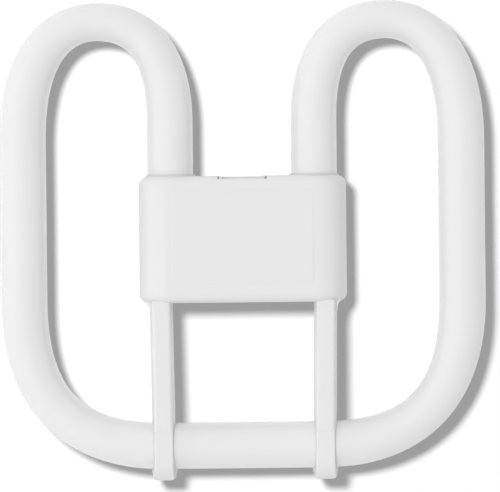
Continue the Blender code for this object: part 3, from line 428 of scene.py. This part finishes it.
def silicone():
    """Soft translucent rubber with a dusty bloom."""
    material, tree, shader = new_material(
        "silicone", IOR=1.42, Subsurface_Weight=0.3, Subsurface_Scale=0.0015)
    tone = place_group(tree, TONE_DRIFT, Colour=(0.72, 0.72, 0.71, 1.0), Scale=160.0, Drift=0.03)
    skin = place_group(tree, MOULDED_SKIN, Grain=3500.0, Waves=300.0, Wave_Share=0.6)
    wire(tree, (tone["Colour"], shader["Base Color"]),
         (spread(tree, tone["Patches"], 0.3, 0.7, 0.5, 0.65), shader["Roughness"]))
    bump(tree, skin["Height"], 0.00005, 0.4, shader)
    return material


def plated_metal(name, colour, roughness, rings):
    """Bright plating over drawn or turned metal, with fine marks round it."""
    material, tree, shader = new_material(name, Metallic=1.0)
    tone = place_group(tree, TONE_DRIFT, Colour=colour, Scale=220.0, Drift=0.05)
    skin = place_group(tree, MOULDED_SKIN, Grain=rings, Waves=400.0, Wave_Share=0.5)
    wire(tree, (tone["Colour"], shader["Base Color"]),
         (spread(tree, skin["Gloss Patches"], 0.3, 0.7, roughness, roughness + 0.12),
          shader["Roughness"]))
    bump(tree, skin["Height"], 0.00002, 0.4, shader)
    return material


def clear_glass():
    """The starter bottle's thin glass, with slight ripples from its flame-made dome."""
    material, tree, shader = new_material(
        "clear_glass", IOR=1.5, Transmission_Weight=0.9)
    tone = place_group(tree, TONE_DRIFT, Colour=(0.9, 0.94, 0.92, 1.0), Scale=90.0, Drift=0.02)
    skin = place_group(tree, MOULDED_SKIN, Grain=500.0, Waves=160.0, Wave_Share=1.5)
    wire(tree, (tone["Colour"], shader["Base Color"]),
         (spread(tree, tone["Patches"], 0.3, 0.7, 0.03, 0.08), shader["Roughness"]))
    bump(tree, skin["Height"], 0.00003, 0.3, shader)
    return material


def dipped_resin():
    """The capacitor's brown dipped coat, with orange-peel waves."""
    material, tree, shader = new_material("dipped_resin", IOR=1.52, Coat_Weight=0.3)
    tone = place_group(tree, TONE_DRIFT, Colour=(0.42, 0.16, 0.05, 1.0), Scale=200.0, Drift=0.12)
    skin = place_group(tree, MOULDED_SKIN, Grain=900.0, Waves=450.0, Wave_Share=1.2)
    wire(tree, (tone["Colour"], shader["Base Color"]),
         (spread(tree, skin["Gloss Patches"], 0.3, 0.7, 0.28, 0.4), shader["Roughness"]))
    bump(tree, skin["Height"], 0.00008, 0.5, shader)
    return material


# Geometry trees

def new_tree(name, inputs):
    """A Geometry Nodes tree that gives out one mesh."""
    tree = bpy.data.node_groups.new(name, "GeometryNodeTree")
    sockets = {}
    for label, kind in [("Geometry", "NodeSocketGeometry"), *inputs]:
        sockets[label] = tree.interface.new_socket(label, in_out="INPUT", socket_type=kind)
    tree.interface.new_socket("Geometry", in_out="OUTPUT", socket_type="NodeSocketGeometry")
    given = tree.nodes.new("NodeGroupInput").outputs
    return tree, given, {label: socket.identifier for label, socket in sockets.items()}


def add_node(tree, kind, **settings):
    made = tree.nodes.new(kind)
    for name, value in settings.items():
        setattr(made, name, value)
    return made


def finish_tree(tree, geometry, material):
    realize = add_node(tree, "GeometryNodeRealizeInstances")
    paint = add_node(tree, "GeometryNodeSetMaterial")
    paint.inputs["Material"].default_value = material
    end = add_node(tree, "NodeGroupOutput")
    wire(tree, (geometry, realize.inputs[0]), (realize.outputs[0], paint.inputs[0]),
         (paint.outputs[0], end.inputs[0]))


def grow(obj, tree, values):
    """Run a tree on an object with these input values, and keep the plain mesh."""
    modifier = obj.modifiers.new(tree.name, "NODES")
    modifier.node_group = tree
    for identifier, value in values.items():
        modifier[identifier] = value
    return settle(obj)


# Discharge tube

def ease(share):
    return share * share * (3.0 - 2.0 * share)


def bend(start, start_handle, end_handle, end, first_radius, last_radius, steps=28):
    """Points round one bend, with the glass drawn thinner from end to end."""
    flat = [Vector((*point, 0.0)) for point in (start, start_handle, end_handle, end)]
    points = interpolate_bezier(*flat, steps + 1)
    return [(point.x, point.y, first_radius + (last_radius - first_radius) * ease(i / steps))
            for i, point in enumerate(points)]


def half_glass_run():
    """The right half of the tube's centreline, from its sealed end to the middle of the far side."""
    leg = Vector((LEG_X, INNER_BEND_Y))
    side = Vector((SIDE_X, OUTER_BEND_Y))
    corner = Vector((SIDE_X, CORNER_BEND_Y))
    foot = Vector((CORNER_BEND_X, FOOT_Y))
    rise = CROWN.y - leg.y
    run = [(LEG_X, LEG_END_Y, SEALED_END_SHARE * LEG_RADIUS)]
    for i in range(1, 9):
        angle = math.radians(11.25 * i)
        run.append((LEG_X, LEG_END_Y + SEALED_END_LENGTH * (1.0 - math.cos(angle)),
                    LEG_RADIUS * (SEALED_END_SHARE + (1.0 - SEALED_END_SHARE) * math.sin(angle))))
    run += bend(leg, leg + Vector((0.0, INNER_HANDLES[0] * rise)),
                CROWN - Vector((INNER_HANDLES[1] * (CROWN.x - LEG_X), 0.0)),
                CROWN, LEG_RADIUS, CROWN_RADIUS)
    run += bend(CROWN, CROWN + Vector((OUTER_HANDLES[0] * (SIDE_X - CROWN.x), 0.0)),
                side + Vector((0.0, OUTER_HANDLES[1] * (CROWN.y - side.y))), side,
                CROWN_RADIUS, SIDE_RADIUS)[1:]
    quarter = bend(corner, corner - Vector((0.0, CORNER_HANDLES[0] * (CORNER_BEND_Y - FOOT_Y))),
                   foot + Vector((CORNER_HANDLES[1] * (SIDE_X - CORNER_BEND_X), 0.0)), foot,
                   0.0, 0.0, 40)
    for i, (x, y, _) in enumerate(quarter):
        drawn = math.sin(math.pi * i / (len(quarter) - 1)) ** 2
        run.append((x, y, SIDE_RADIUS + (CORNER_RADIUS - SIDE_RADIUS) * drawn))
    return run


def make_glass_tube():
    right = half_glass_run()
    run = right + [(-x, y, radius) for x, y, radius in reversed(right)]
    curve = bpy.data.curves.new("opal_tube", "CURVE")
    curve.dimensions = "3D"
    spline = curve.splines.new("POLY")
    spline.points.add(len(run) - 1)
    for point, (x, y, radius) in zip(spline.points, run):
        point.co = (x, y, TUBE_Z, 1.0)
        point.radius = radius
    path = bpy.data.objects.new("opal_tube", curve)
    bpy.context.scene.collection.objects.link(path)

    tree, given, names = new_tree("glass_drawn_along_a_path", [("Sides", "NodeSocketInt")])
    upright = add_node(tree, "GeometryNodeSetCurveNormal", mode="Z_UP")
    section = add_node(tree, "GeometryNodeCurvePrimitiveCircle")
    section.inputs["Radius"].default_value = 1.0
    draw = add_node(tree, "GeometryNodeCurveToMesh")
    draw.inputs["Fill Caps"].default_value = True
    smooth = add_node(tree, "GeometryNodeSetShadeSmooth")
    wire(tree, (given["Geometry"], upright.inputs[0]), (given["Sides"], section.inputs["Resolution"]),
         (upright.outputs[0], draw.inputs["Curve"]), (section.outputs[0], draw.inputs["Profile Curve"]),
         (draw.outputs[0], smooth.inputs[0]))
    if "Scale" in draw.inputs:
        radius = add_node(tree, "GeometryNodeInputRadius")
        wire(tree, (radius.outputs[0], draw.inputs["Scale"]))
    finish_tree(tree, smooth.outputs[0], OPAL_GLASS)
    tube = grow(path, tree, {names["Sides"]: GLASS_SIDES})

    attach(tube, "root")
    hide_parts("discharge_tube")


# Base

def base_block(name, inset, segments=10):
    """The whole base, or its hollow when inset by the wall."""
    half_width = BASE_HALF_WIDTH - inset
    radius = BASE_ROUND - inset
    outline = []
    for side, first in ((1.0, -90.0), (-1.0, 90.0)):
        for i in range(BASE_ROUND_STEPS + 1):
            angle = math.radians(first + 180.0 * i / BASE_ROUND_STEPS)
            outline.append((side * (half_width - radius) + radius * math.cos(angle),
                            TUBE_Z + radius * math.sin(angle)))
    block = prism(name, outline, "Y", BASE_BOTTOM + inset, BASE_TOP - inset)
    round_edges(block, BASE_EDGE - inset, segments, 60.0)
    return settle(block)


def slab(name, low_z, high_z, margin=CUT_PAST):
    return box(name, (-BASE_HALF_WIDTH - margin, BASE_BOTTOM - 90 * MM, low_z),
               (BASE_HALF_WIDTH + margin, BASE_TOP + margin, high_z))


def mouths():
    """Cutters for the two mouths that the legs stand in."""
    cutters = []
    for side in (-1.0, 1.0):
        cutters.append(rod("mouth", (side * LEG_X, BASE_TOP - WALL - CUT_PAST, TUBE_Z),
                           (side * LEG_X, BASE_TOP + CUT_PAST, TUBE_Z), MOUTH_RADIUS))
    return cutters


def make_base_front():
    parting = TUBE_Z + PARTING_GAP / 2
    shell = base_block("base_front", 0.0)
    panel = box("panel", (-PANEL_HALF_WIDTH, PANEL_BOTTOM, INNER_FRONT_Z + WALL / 2),
                (PANEL_HALF_WIDTH, PANEL_TOP, FRONT_Z + PANEL_RISE))
    round_panel_corners(panel)
    shell = combine(shell, "UNION", [settle(panel)])
    shell = combine(shell, "DIFFERENCE", [slab("below", -CUT_PAST, parting)])
    arms = [arm(side, parting) for side in (-1.0, 1.0)]
    shell = combine(shell, "UNION", arms)
    shell = combine(shell, "DIFFERENCE", [base_block("hollow", WALL, 4)])

    opening = WELL_HALF_WIDTH + NOTCH_GAP
    cutters = mouths()
    cutters.append(box("well_opening", (-opening, BASE_TOP - WALL - CUT_PAST, parting - CUT_PAST),
                       (opening, BASE_TOP + CUT_PAST, INNER_FRONT_Z)))
    cutters.append(box("notch", (-opening, BASE_TOP - NOTCH_DEPTH, INNER_FRONT_Z - CUT_PAST),
                       (opening, BASE_TOP + CUT_PAST, FRONT_Z + CUT_PAST)))
    half = ARM_BACK_WIDTH / 2 + HOOK_OVERHANG + CUT_PAST
    for side in (-1.0, 1.0):
        cutters.append(rod("tube_seat", (side * ARM_X - half, FOOT_Y, TUBE_Z),
                           (side * ARM_X + half, FOOT_Y, TUBE_Z), SIDE_RADIUS + HOOK_SEAT_GAP, 96))
    shell = combine(shell, "DIFFERENCE", cutters)
    finish_moulding(shell, "front_shell")


def round_panel_corners(panel):
    """Round the panel's corners, seen from the front, and mark its small front edge for rounding."""
    bm = bmesh.new()
    bm.from_mesh(panel.data)
    corners = [edge for edge in bm.edges if abs(edge.verts[0].co.z - edge.verts[1].co.z) > PANEL_RISE]
    bmesh.ops.bevel(bm, geom=corners, offset=PANEL_CORNER, segments=5, affect="EDGES", profile=0.5)
    bm.to_mesh(panel.data)
    bm.free()
    round_edges(panel, 0.9 * PANEL_RISE, 3, 60.0)


def finish_moulding(shell, node_name):
    """Give a shell its plastic and let it stand in for its solid."""
    shell.data.materials.clear()
    shell.data.materials.append(WHITE_PLASTIC)
    shell = smooth_moulding(shell)
    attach(shell, "root")
    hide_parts(node_name)


def arm(side, parting):
    """One arm: a drafted channel with a gusset at its root, cross ribs inside, and its hook."""
    half = ARM_BACK_WIDTH / 2
    bm = box_mesh((-half, ARM_END_Y, parting), (half, BASE_BOTTOM + WALL / 2, ARM_FRONT_Z))
    for vert in bm.verts:
        if vert.co.z > TUBE_Z + SEAT_GAP:
            vert.co.x *= ARM_FRONT_WIDTH / ARM_BACK_WIDTH
        vert.co.x += side * (ARM_X if vert.co.y > BASE_BOTTOM else HOOK_X)
    bar = object_from("arm", bm)
    round_front_edges(bar, ARM_EDGE, 8)
    for vert in bar.data.vertices:
        if vert.co.z > TUBE_Z + SEAT_GAP and vert.co.y < BASE_BOTTOM:
            vert.co.z += ARM_RISE
    bar = combine(bar, "UNION", [arm_gusset(side, parting), hook(side)])
    return combine(bar, "DIFFERENCE", arm_hollows(side, parting))


def arm_gusset(side, parting):
    """A hollow-curved web that widens the arm where it leaves the base."""
    outer = side * (ARM_X + ARM_BACK_WIDTH / 2)
    reach = side * GUSSET_WIDTH
    outline = [(outer - reach, BASE_BOTTOM + WALL / 2), (outer + reach, BASE_BOTTOM + WALL / 2)]
    for i in range(7):
        angle = math.radians(15.0 * i)
        outline.append((outer + reach * (1.0 - math.sin(angle)),
                        BASE_BOTTOM - GUSSET_LENGTH * (1.0 - math.cos(angle))))
    outline.append((outer - reach, BASE_BOTTOM - GUSSET_LENGTH))
    return prism("gusset", outline, "Z", parting, parting + GUSSET_HEIGHT)


def arm_hollows(side, parting):
    """The open bays on the arm's back, between its cross ribs."""
    inside = ARM_FRONT_WIDTH / 2 - ARM_WALL
    first = BASE_BOTTOM - ARM_WALL
    last = FOOT_Y + SIDE_RADIUS + ARM_WALL
    bay = (first - last + ARM_WALL) / ARM_BAYS
    hollows = []
    for i in range(ARM_BAYS):
        high = first - i * bay
        middle = side * (ARM_X + (HOOK_X - ARM_X) * (i + 0.5) / ARM_BAYS)
        hollows.append(box("bay", (middle - inside, high - bay + ARM_WALL, parting - CUT_PAST),
                           (middle + inside, high,
                            ARM_FRONT_Z + i * ARM_RISE / ARM_BAYS - ARM_WALL)))
    return hollows


def hook_side_view():
    """The hook as (y, z) pairs: a flat strap over the tube, which rounds down to its foot on the far
    side, then the grip below the foot."""
    view = [Vector((-HOOK_ROOT, ARM_FRONT_Z + ARM_RISE - TUBE_Z)),
            Vector((HOOK_WALL / 2 - HOOK_ROOT, STRAP_RADIUS))]
    for i in range(33):
        angle = math.pi / 2 * i / 32
        view.append(Vector((HOOK_FLAT + (HOOK_REACH - HOOK_FLAT) * math.sin(angle),
                            STRAP_RADIUS - HOOK_BROW * (1.0 - math.cos(angle)))))
    for i in range(13):
        angle = math.pi / 2 * i / 12
        view.append(Vector((HOOK_REACH - FOOT_ROUND * (1.0 - math.cos(angle)),
                            -FOOT_ROUND * math.sin(angle))))
    grip_z = -HOOK_GRIP - HOOK_WALL
    chamfer = 0.3 * HOOK_WALL
    view += [Vector(pair) for pair in (
        (STRAP_RADIUS, -FOOT_ROUND - chamfer), (STRAP_RADIUS, grip_z + chamfer),
        (STRAP_RADIUS - chamfer, grip_z), (SIDE_RADIUS + SEAT_GAP + chamfer, grip_z),
        (0.82 * SIDE_RADIUS, -HOOK_GRIP), (0.0, 0.0), (-SIDE_RADIUS / 2, PARTING_GAP))]
    return [(FOOT_Y - out, TUBE_Z + up) for out, up in view]


def hook(side):
    """The side view pushed across the arm and narrowed to its face, with round corners at the foot."""
    half = ARM_BACK_WIDTH / 2 + HOOK_OVERHANG
    back = TUBE_Z - HOOK_GRIP - HOOK_WALL
    height = TUBE_Z + STRAP_RADIUS - back
    body = prism("hook", hook_side_view(), "X", -half, half)
    for vert in body.data.vertices:
        narrowing = (half - ARM_FRONT_WIDTH / 2) * (vert.co.z - back) / height
        vert.co.x += side * HOOK_X - math.copysign(narrowing, vert.co.x)
    round_edges(body, HOOK_EDGE, 4, 60.0)
    plan = box_mesh((side * HOOK_X - half, FOOT_Y - HOOK_REACH, 0.0),
                    (side * HOOK_X + half, FOOT_Y + STRAP_RADIUS, 2 * TUBE_Z))
    corners = [edge for edge in plan.edges
               if max(vert.co.y for vert in edge.verts) < FOOT_Y
               and abs(edge.verts[0].co.z - edge.verts[1].co.z) > STRAP_RADIUS]
    bmesh.ops.bevel(plan, geom=corners, offset=HOOK_CORNER, segments=12, affect="EDGES", profile=0.5)
    return combine(settle(body), "INTERSECT", [object_from("hook_plan", plan)])


def make_base_back():
    parting = TUBE_Z - PARTING_GAP / 2
    shell = base_block("base_back", 0.0)
    shell = combine(shell, "DIFFERENCE", [slab("above", parting, FRONT_Z + CUT_PAST)])
    raised = plateau("plateau", 0.0, 0.0, BACK_Z + BASE_EDGE)
    round_edges(raised, PLATEAU_EDGE, 4, 60.0)
    shell = combine(shell, "UNION", [settle(raised)])
    shell = combine(shell, "DIFFERENCE", [
        base_block("hollow", WALL, 4), plateau("plateau_hollow", WALL, RECESS_BACK_Z,
                                            BACK_Z + PLATEAU_HOLLOW_RISE)])

    well = box("well", (-WELL_HALF_WIDTH, RECESS_FLOOR_Y - WEB, RECESS_BACK_Z - WALL / 3),
               (WELL_HALF_WIDTH, BASE_TOP, WELL_FRONT_Z))
    round_front_edges(well, WELL_CORNER, 6)
    shell = combine(shell, "UNION", [well, *parting_lips(parting)])

    recess = box("recess", (-RECESS_HALF_WIDTH, RECESS_FLOOR_Y, RECESS_BACK_Z),
                 (RECESS_HALF_WIDTH, BASE_TOP + CUT_PAST, RECESS_FRONT_Z))
    key = box("key", (-KEY_HALF_WIDTH, RECESS_FLOOR_Y - CUT_PAST, 0.0),
              (KEY_HALF_WIDTH, BASE_TOP - KEY_RISE, RECESS_BACK_Z + KEY_RISE))
    round_front_edges(key, KEY_EDGE, 4)
    window = box("window", (-RECESS_HALF_WIDTH, BASE_TOP - NOTCH_DEPTH, RECESS_FRONT_Z - WALL / 2),
                 (RECESS_HALF_WIDTH, BASE_TOP + CUT_PAST, FRONT_Z))
    cutters = [combine(recess, "DIFFERENCE", [key]), window, *mouths()]
    for side in (-1.0, 1.0):
        x = side * PIN_SPACING / 2
        cutters.append(rod("pin_hole", (x, RECESS_FLOOR_Y - WEB - CUT_PAST, PIN_Z),
                           (x, RECESS_FLOOR_Y + CUT_PAST, PIN_Z), PIN_RADIUS + PIN_HOLE_GAP, 32))
    finish_moulding(combine(shell, "DIFFERENCE", cutters), "rear_shell")


def parting_lips(parting):
    """Thin rims inside the parting line, which close it to light."""
    lips = []
    outer = BASE_HALF_WIDTH - WALL
    for side in (-1.0, 1.0):
        xs = sorted((side * (outer - PARTING_LIP), side * outer))
        lips.append(box("lip", (xs[0], BASE_BOTTOM + BASE_EDGE, parting - LIP_ROOT),
                        (xs[1], BASE_TOP - BASE_EDGE, parting + LIP_RISE)))
    straight = BASE_HALF_WIDTH - BASE_ROUND
    lips.append(box("lip", (-straight, BASE_BOTTOM + WALL - LIP_OVERLAP, parting - LIP_ROOT),
                    (straight, BASE_BOTTOM + WALL + PARTING_LIP, parting + LIP_RISE)))
    return lips


def plateau(name, inset, low_z, high_z):
    """The raised back, drawn in towards its flat face."""
    half_width = PLATEAU_HALF_WIDTH - inset
    bm = box_mesh((-half_width, PLATEAU_BOTTOM + inset, low_z), (half_width, BASE_TOP - inset, high_z))
    for vert in bm.verts:
        if vert.co.z < (low_z + high_z) / 2:
            vert.co.x -= math.copysign(PLATEAU_DRAFT, vert.co.x)
            if vert.co.y < 0.0:
                vert.co.y += PLATEAU_DRAFT
    corners = [edge for edge in bm.edges
               if abs(edge.verts[0].co.z - edge.verts[1].co.z) > SEAT_GAP and edge.verts[0].co.y < 0.0]
    bmesh.ops.bevel(bm, geom=corners, offset=PLATEAU_CORNER - inset, segments=8, affect="EDGES",
                    profile=0.5)
    return object_from(name, bm)


# Collars and pins

def make_seal_collars():
    """A silicone ring round each leg, with lips at its ends and between that wipe the glass."""
    profile = bpy.data.curves.new("seal_collars", "CURVE")
    profile.dimensions = "2D"
    spline = profile.splines.new("POLY")
    points = []
    for i in range(25):
        share = i / 24
        points.append((COLLAR_GAP + COLLAR_LIP * math.cos(share * 6.0 * math.pi) ** 2,
                       -share * COLLAR_LENGTH))
    outer = COLLAR_GAP + COLLAR_LIP + COLLAR_WALL
    points += [(outer, -COLLAR_LENGTH), (outer, 0.0)]
    spline.points.add(len(points) - 1)
    for point, (x, y) in zip(spline.points, points):
        point.co = (x, y, 0.0, 1.0)
    spline.use_cyclic_u = True
    section = bpy.data.objects.new("seal_collars", profile)
    bpy.context.scene.collection.objects.link(section)

    tree, given, names = new_tree("ribbed_rings", [
        ("Ring Radius", "NodeSocketFloat"), ("Spacing", "NodeSocketFloat")])
    ring = add_node(tree, "GeometryNodeCurvePrimitiveCircle")
    ring.inputs["Resolution"].default_value = 72
    draw = add_node(tree, "GeometryNodeCurveToMesh")
    places = add_node(tree, "GeometryNodeMeshLine")
    places.inputs["Count"].default_value = 2
    offset = add_node(tree, "ShaderNodeCombineXYZ")
    copies = add_node(tree, "GeometryNodeInstanceOnPoints")
    smooth = add_node(tree, "GeometryNodeSetShadeSmooth")
    wire(tree, (given["Ring Radius"], ring.inputs["Radius"]), (ring.outputs[0], draw.inputs["Curve"]),
         (given["Geometry"], draw.inputs["Profile Curve"]), (given["Spacing"], offset.inputs["X"]),
         (offset.outputs[0], places.inputs["Offset"]), (places.outputs[0], copies.inputs["Points"]),
         (draw.outputs[0], smooth.inputs[0]), (smooth.outputs[0], copies.inputs["Instance"]))
    finish_tree(tree, copies.outputs[0], SILICONE)
    collars = grow(section, tree, {names["Ring Radius"]: LEG_RADIUS, names["Spacing"]: 2 * LEG_X})
    place = Matrix.Translation((-LEG_X, BASE_TOP - BASE_EDGE, TUBE_Z))
    collars.data.transform(place @ Matrix.Rotation(math.radians(-90.0), 4, "X"))
    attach(collars, "root")
    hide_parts("seal_collar_left", "seal_collar_right")


def make_contact_pins():
    """Two turned pins with rounded tips and a groove at the foot, from one that is drawn once."""
    bm = bmesh.new()
    verts = [bm.verts.new((radius * MM, 0.0, height * MM)) for radius, height in PIN_PROFILE]
    edges = [bm.edges.new(pair) for pair in zip(verts, verts[1:])]
    bmesh.ops.spin(bm, geom=verts + edges, cent=(0, 0, 0), axis=(0, 0, 1), angle=2 * math.pi, steps=40)
    bmesh.ops.remove_doubles(bm, verts=bm.verts, dist=0.00001)
    pin = object_from("contact_pins", bm)
    pin.data.transform(Matrix.Rotation(math.radians(-90.0), 4, "X"))

    tree, given, names = new_tree("pins_in_a_row", [("Spacing", "NodeSocketFloat")])
    places = add_node(tree, "GeometryNodeMeshLine")
    places.inputs["Count"].default_value = 2
    offset = add_node(tree, "ShaderNodeCombineXYZ")
    copies = add_node(tree, "GeometryNodeInstanceOnPoints")
    wire(tree, (given["Spacing"], offset.inputs["X"]), (offset.outputs[0], places.inputs["Offset"]),
         (places.outputs[0], copies.inputs["Points"]), (given["Geometry"], copies.inputs["Instance"]))
    finish_tree(tree, copies.outputs[0], NICKELLED_BRASS)
    pins = grow(pin, tree, {names["Spacing"]: PIN_SPACING})
    pins.data.transform(Matrix.Translation((-PIN_SPACING / 2, RECESS_FLOOR_Y, PIN_Z)))
    pins.data.shade_smooth()
    pins.data.set_sharp_from_angle(angle=math.radians(40.0))
    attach(pins, "root")
    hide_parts("contact_pin_left", "contact_pin_right")


def paint_inner_nodes():
    """The starter and its leads keep their solids, in finishes of their own."""
    finishes = {"starter_bottle": CLEAR_GLASS, "starter_capacitor": DIPPED_RESIN}
    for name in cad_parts:
        if name.endswith(("_left", "_right")) and ("lead" in name or "ferrule" in name):
            finishes[name] = TINNED_COPPER
    for name, material in finishes.items():
        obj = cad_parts[name]
        obj.data.materials.clear()
        obj.data.materials.append(material)


# Table, light and camera

def make_table():
    """A white table that keeps the lamp's shadow and lights the lamp evenly from below. Seen from
    underneath it is clear, so that the lamp's back shows. It is cut into squares, because a ray that
    comes through one huge face can start past the lamp's back, which lies only just above."""
    bm = bmesh.new()
    bmesh.ops.create_grid(bm, x_segments=TABLE_SQUARES, y_segments=TABLE_SQUARES, size=TABLE_HALF_WIDTH)
    bmesh.ops.translate(bm, vec=(*TABLE_SHIFT, -TABLE_DROP), verts=bm.verts)
    table = object_from("table", bm)
    if table.data.polygons[0].normal.z < 0.0:
        table.data.flip_normals()
    material = bpy.data.materials.new("white_table")
    material.use_nodes = True
    tree = material.node_tree
    tree.nodes.clear()
    lit = tree.nodes.new("ShaderNodeBsdfDiffuse")
    lit.inputs["Color"].default_value = (TABLE_COLOUR, TABLE_COLOUR, TABLE_COLOUR, 1.0)
    shaded = tree.nodes.new("ShaderNodeEmission")
    away = tree.nodes.new("ShaderNodeVectorMath")
    away.operation = "LENGTH"
    wire(tree, (tree.nodes.new("ShaderNodeTexCoord").outputs["Object"], away.inputs[0]),
         (spread(tree, away.outputs["Value"], *TABLE_FADE, TABLE_IN_SHADOW, 1.0),
          shaded.inputs["Strength"]))
    seen = tree.nodes.new("ShaderNodeAddShader")
    bouncing = tree.nodes.new("ShaderNodeEmission")
    bouncing.inputs["Strength"].default_value = TABLE_GLOW
    mix = tree.nodes.new("ShaderNodeMixShader")
    clear = tree.nodes.new("ShaderNodeBsdfTransparent")
    faces = tree.nodes.new("ShaderNodeMixShader")
    facing = tree.nodes.new("ShaderNodeNewGeometry").outputs["Backfacing"]
    end = tree.nodes.new("ShaderNodeOutputMaterial")
    wire(tree, (lit.outputs[0], seen.inputs[0]), (shaded.outputs[0], seen.inputs[1]),
         (seen_directly(tree), mix.inputs[0]), (bouncing.outputs[0], mix.inputs[1]),
         (seen.outputs[0], mix.inputs[2]), (facing, faces.inputs[0]), (mix.outputs[0], faces.inputs[1]),
         (clear.outputs[0], faces.inputs[2]), (faces.outputs[0], end.inputs["Surface"]))
    table.data.materials.append(material)
    return table


def seen_directly(tree):
    """1 for rays from the camera and for those that metal or glass sends on."""
    path = tree.nodes.new("ShaderNodeLightPath").outputs
    either = maths(tree, "MAXIMUM", path["Is Glossy Ray"], path["Is Transmission Ray"])
    return maths(tree, "MAXIMUM", path["Is Camera Ray"], either)


def window(name, strength, degrees, travel):
    """A far window: light that comes one way, spread over so many degrees."""
    sun = bpy.data.lights.new(name, "SUN")
    sun.energy = strength
    sun.angle = math.radians(degrees)
    lamp = bpy.data.objects.new(name, sun)
    lamp.rotation_mode = "QUATERNION"
    lamp.rotation_quaternion = Vector(travel).to_track_quat("-Z", "Y")
    lamp.visible_glossy = False
    bpy.context.scene.collection.objects.link(lamp)


def make_shadow_lamp(table):
    """A round lamp that only draws the shadow on the table. It is as high as the camera, so that the
    shadow stands off by the same amount everywhere in the picture."""
    disc = bpy.data.lights.new("shadow_lamp", "AREA")
    disc.shape = "DISK"
    disc.size = SHADOW_LAMP_WIDTH
    disc.energy = SHADOW_LAMP_WATTS
    lamp = bpy.data.objects.new("shadow_lamp", disc)
    lamp.location = (*(CAMERA_OVER - CAMERA_HEIGHT * SHADOW_SLOPE), CAMERA_HEIGHT)
    lamp.visible_camera = False
    lamp.visible_glossy = False
    bpy.context.scene.collection.objects.link(lamp)
    only_table = bpy.data.collections.new("only_table")
    only_table.objects.link(table)
    lamp.light_linking.receiver_collection = only_table


def make_room():
    """A pale room, brighter on some sides, which shows itself as plain white."""
    world = bpy.data.worlds.new("pale_room")
    bpy.context.scene.world = world
    world.use_nodes = True
    tree = world.node_tree
    tree.nodes.clear()
    way = tree.nodes.new("ShaderNodeSeparateXYZ")
    place = tree.nodes.new("ShaderNodeTexCoord")
    wire(tree, (place.outputs["Generated"], way.inputs[0]))
    across, along, up = way.outputs
    level = spread(tree, up, *ROOM_BANDS[-1][:2], 0.0, ROOM_CEILING)
    below = 1.0
    for start, stop, sides in ROOM_BANDS:
        fade = spread(tree, up, start, stop, 1.0, 0.0)
        band = maths(tree, "MULTIPLY", fade, below)
        below = spread(tree, up, start, stop, 0.0, 1.0)
        for strength, (axis, sign) in zip(sides, ((across, -1), (across, 1), (along, 1), (along, -1))):
            side = maths(tree, "MAXIMUM", maths(tree, "MULTIPLY", axis, sign * strength), 0.0)
            level = maths(tree, "ADD", level, maths(tree, "MULTIPLY", band, side))
    room = tree.nodes.new("ShaderNodeBackground")
    white = tree.nodes.new("ShaderNodeBackground")
    mix = tree.nodes.new("ShaderNodeMixShader")
    end = tree.nodes.new("ShaderNodeOutputWorld")
    white.inputs["Color"].default_value = (1.0, 1.0, 1.0, 1.0)
    room.inputs["Color"].default_value = (1.0, 1.0, 1.0, 1.0)
    wire(tree, (level, room.inputs["Strength"]), (seen_directly(tree), mix.inputs[0]),
         (room.outputs[0], mix.inputs[1]), (white.outputs[0], mix.inputs[2]),
         (mix.outputs[0], end.inputs["Surface"]))


def make_camera():
    """Straight above the lamp, framed on the plane of its tube."""
    data = bpy.data.cameras.new("camera")
    data.sensor_width = SENSOR_WIDTH
    width = PICTURE_WIDTH * MILLIMETRES_PER_PIXEL * MM
    data.lens = SENSOR_WIDTH * (CAMERA_HEIGHT - TUBE_Z) / width
    camera = bpy.data.objects.new("camera", data)
    camera.location = (CAMERA_OVER.x, CAMERA_OVER.y, CAMERA_HEIGHT)
    camera.rotation_euler = (0.0, 0.0, CAMERA_ROLL)
    bpy.context.scene.collection.objects.link(camera)
    bpy.context.scene.camera = camera
    bpy.context.scene.view_settings.view_transform = "Standard"


TONE_DRIFT = make_tone_drift()
MOULDED_SKIN = make_moulded_skin()
OPAL_GLASS = opal_glass()
WHITE_PLASTIC = white_plastic()
SILICONE = silicone()
NICKELLED_BRASS = plated_metal("nickelled_brass", (0.70, 0.68, 0.63, 1.0), 0.18, 1500.0)
TINNED_COPPER = plated_metal("tinned_copper", (0.68, 0.67, 0.65, 1.0), 0.3, 2500.0)
CLEAR_GLASS = clear_glass()
DIPPED_RESIN = dipped_resin()

make_camera()
make_room()
make_shadow_lamp(make_table())
for strength, degrees, travel in WINDOWS:
    window("soft_window", strength, degrees, travel)
make_glass_tube()
make_base_front()
make_base_back()
make_seal_collars()
make_contact_pins()
paint_inner_nodes()
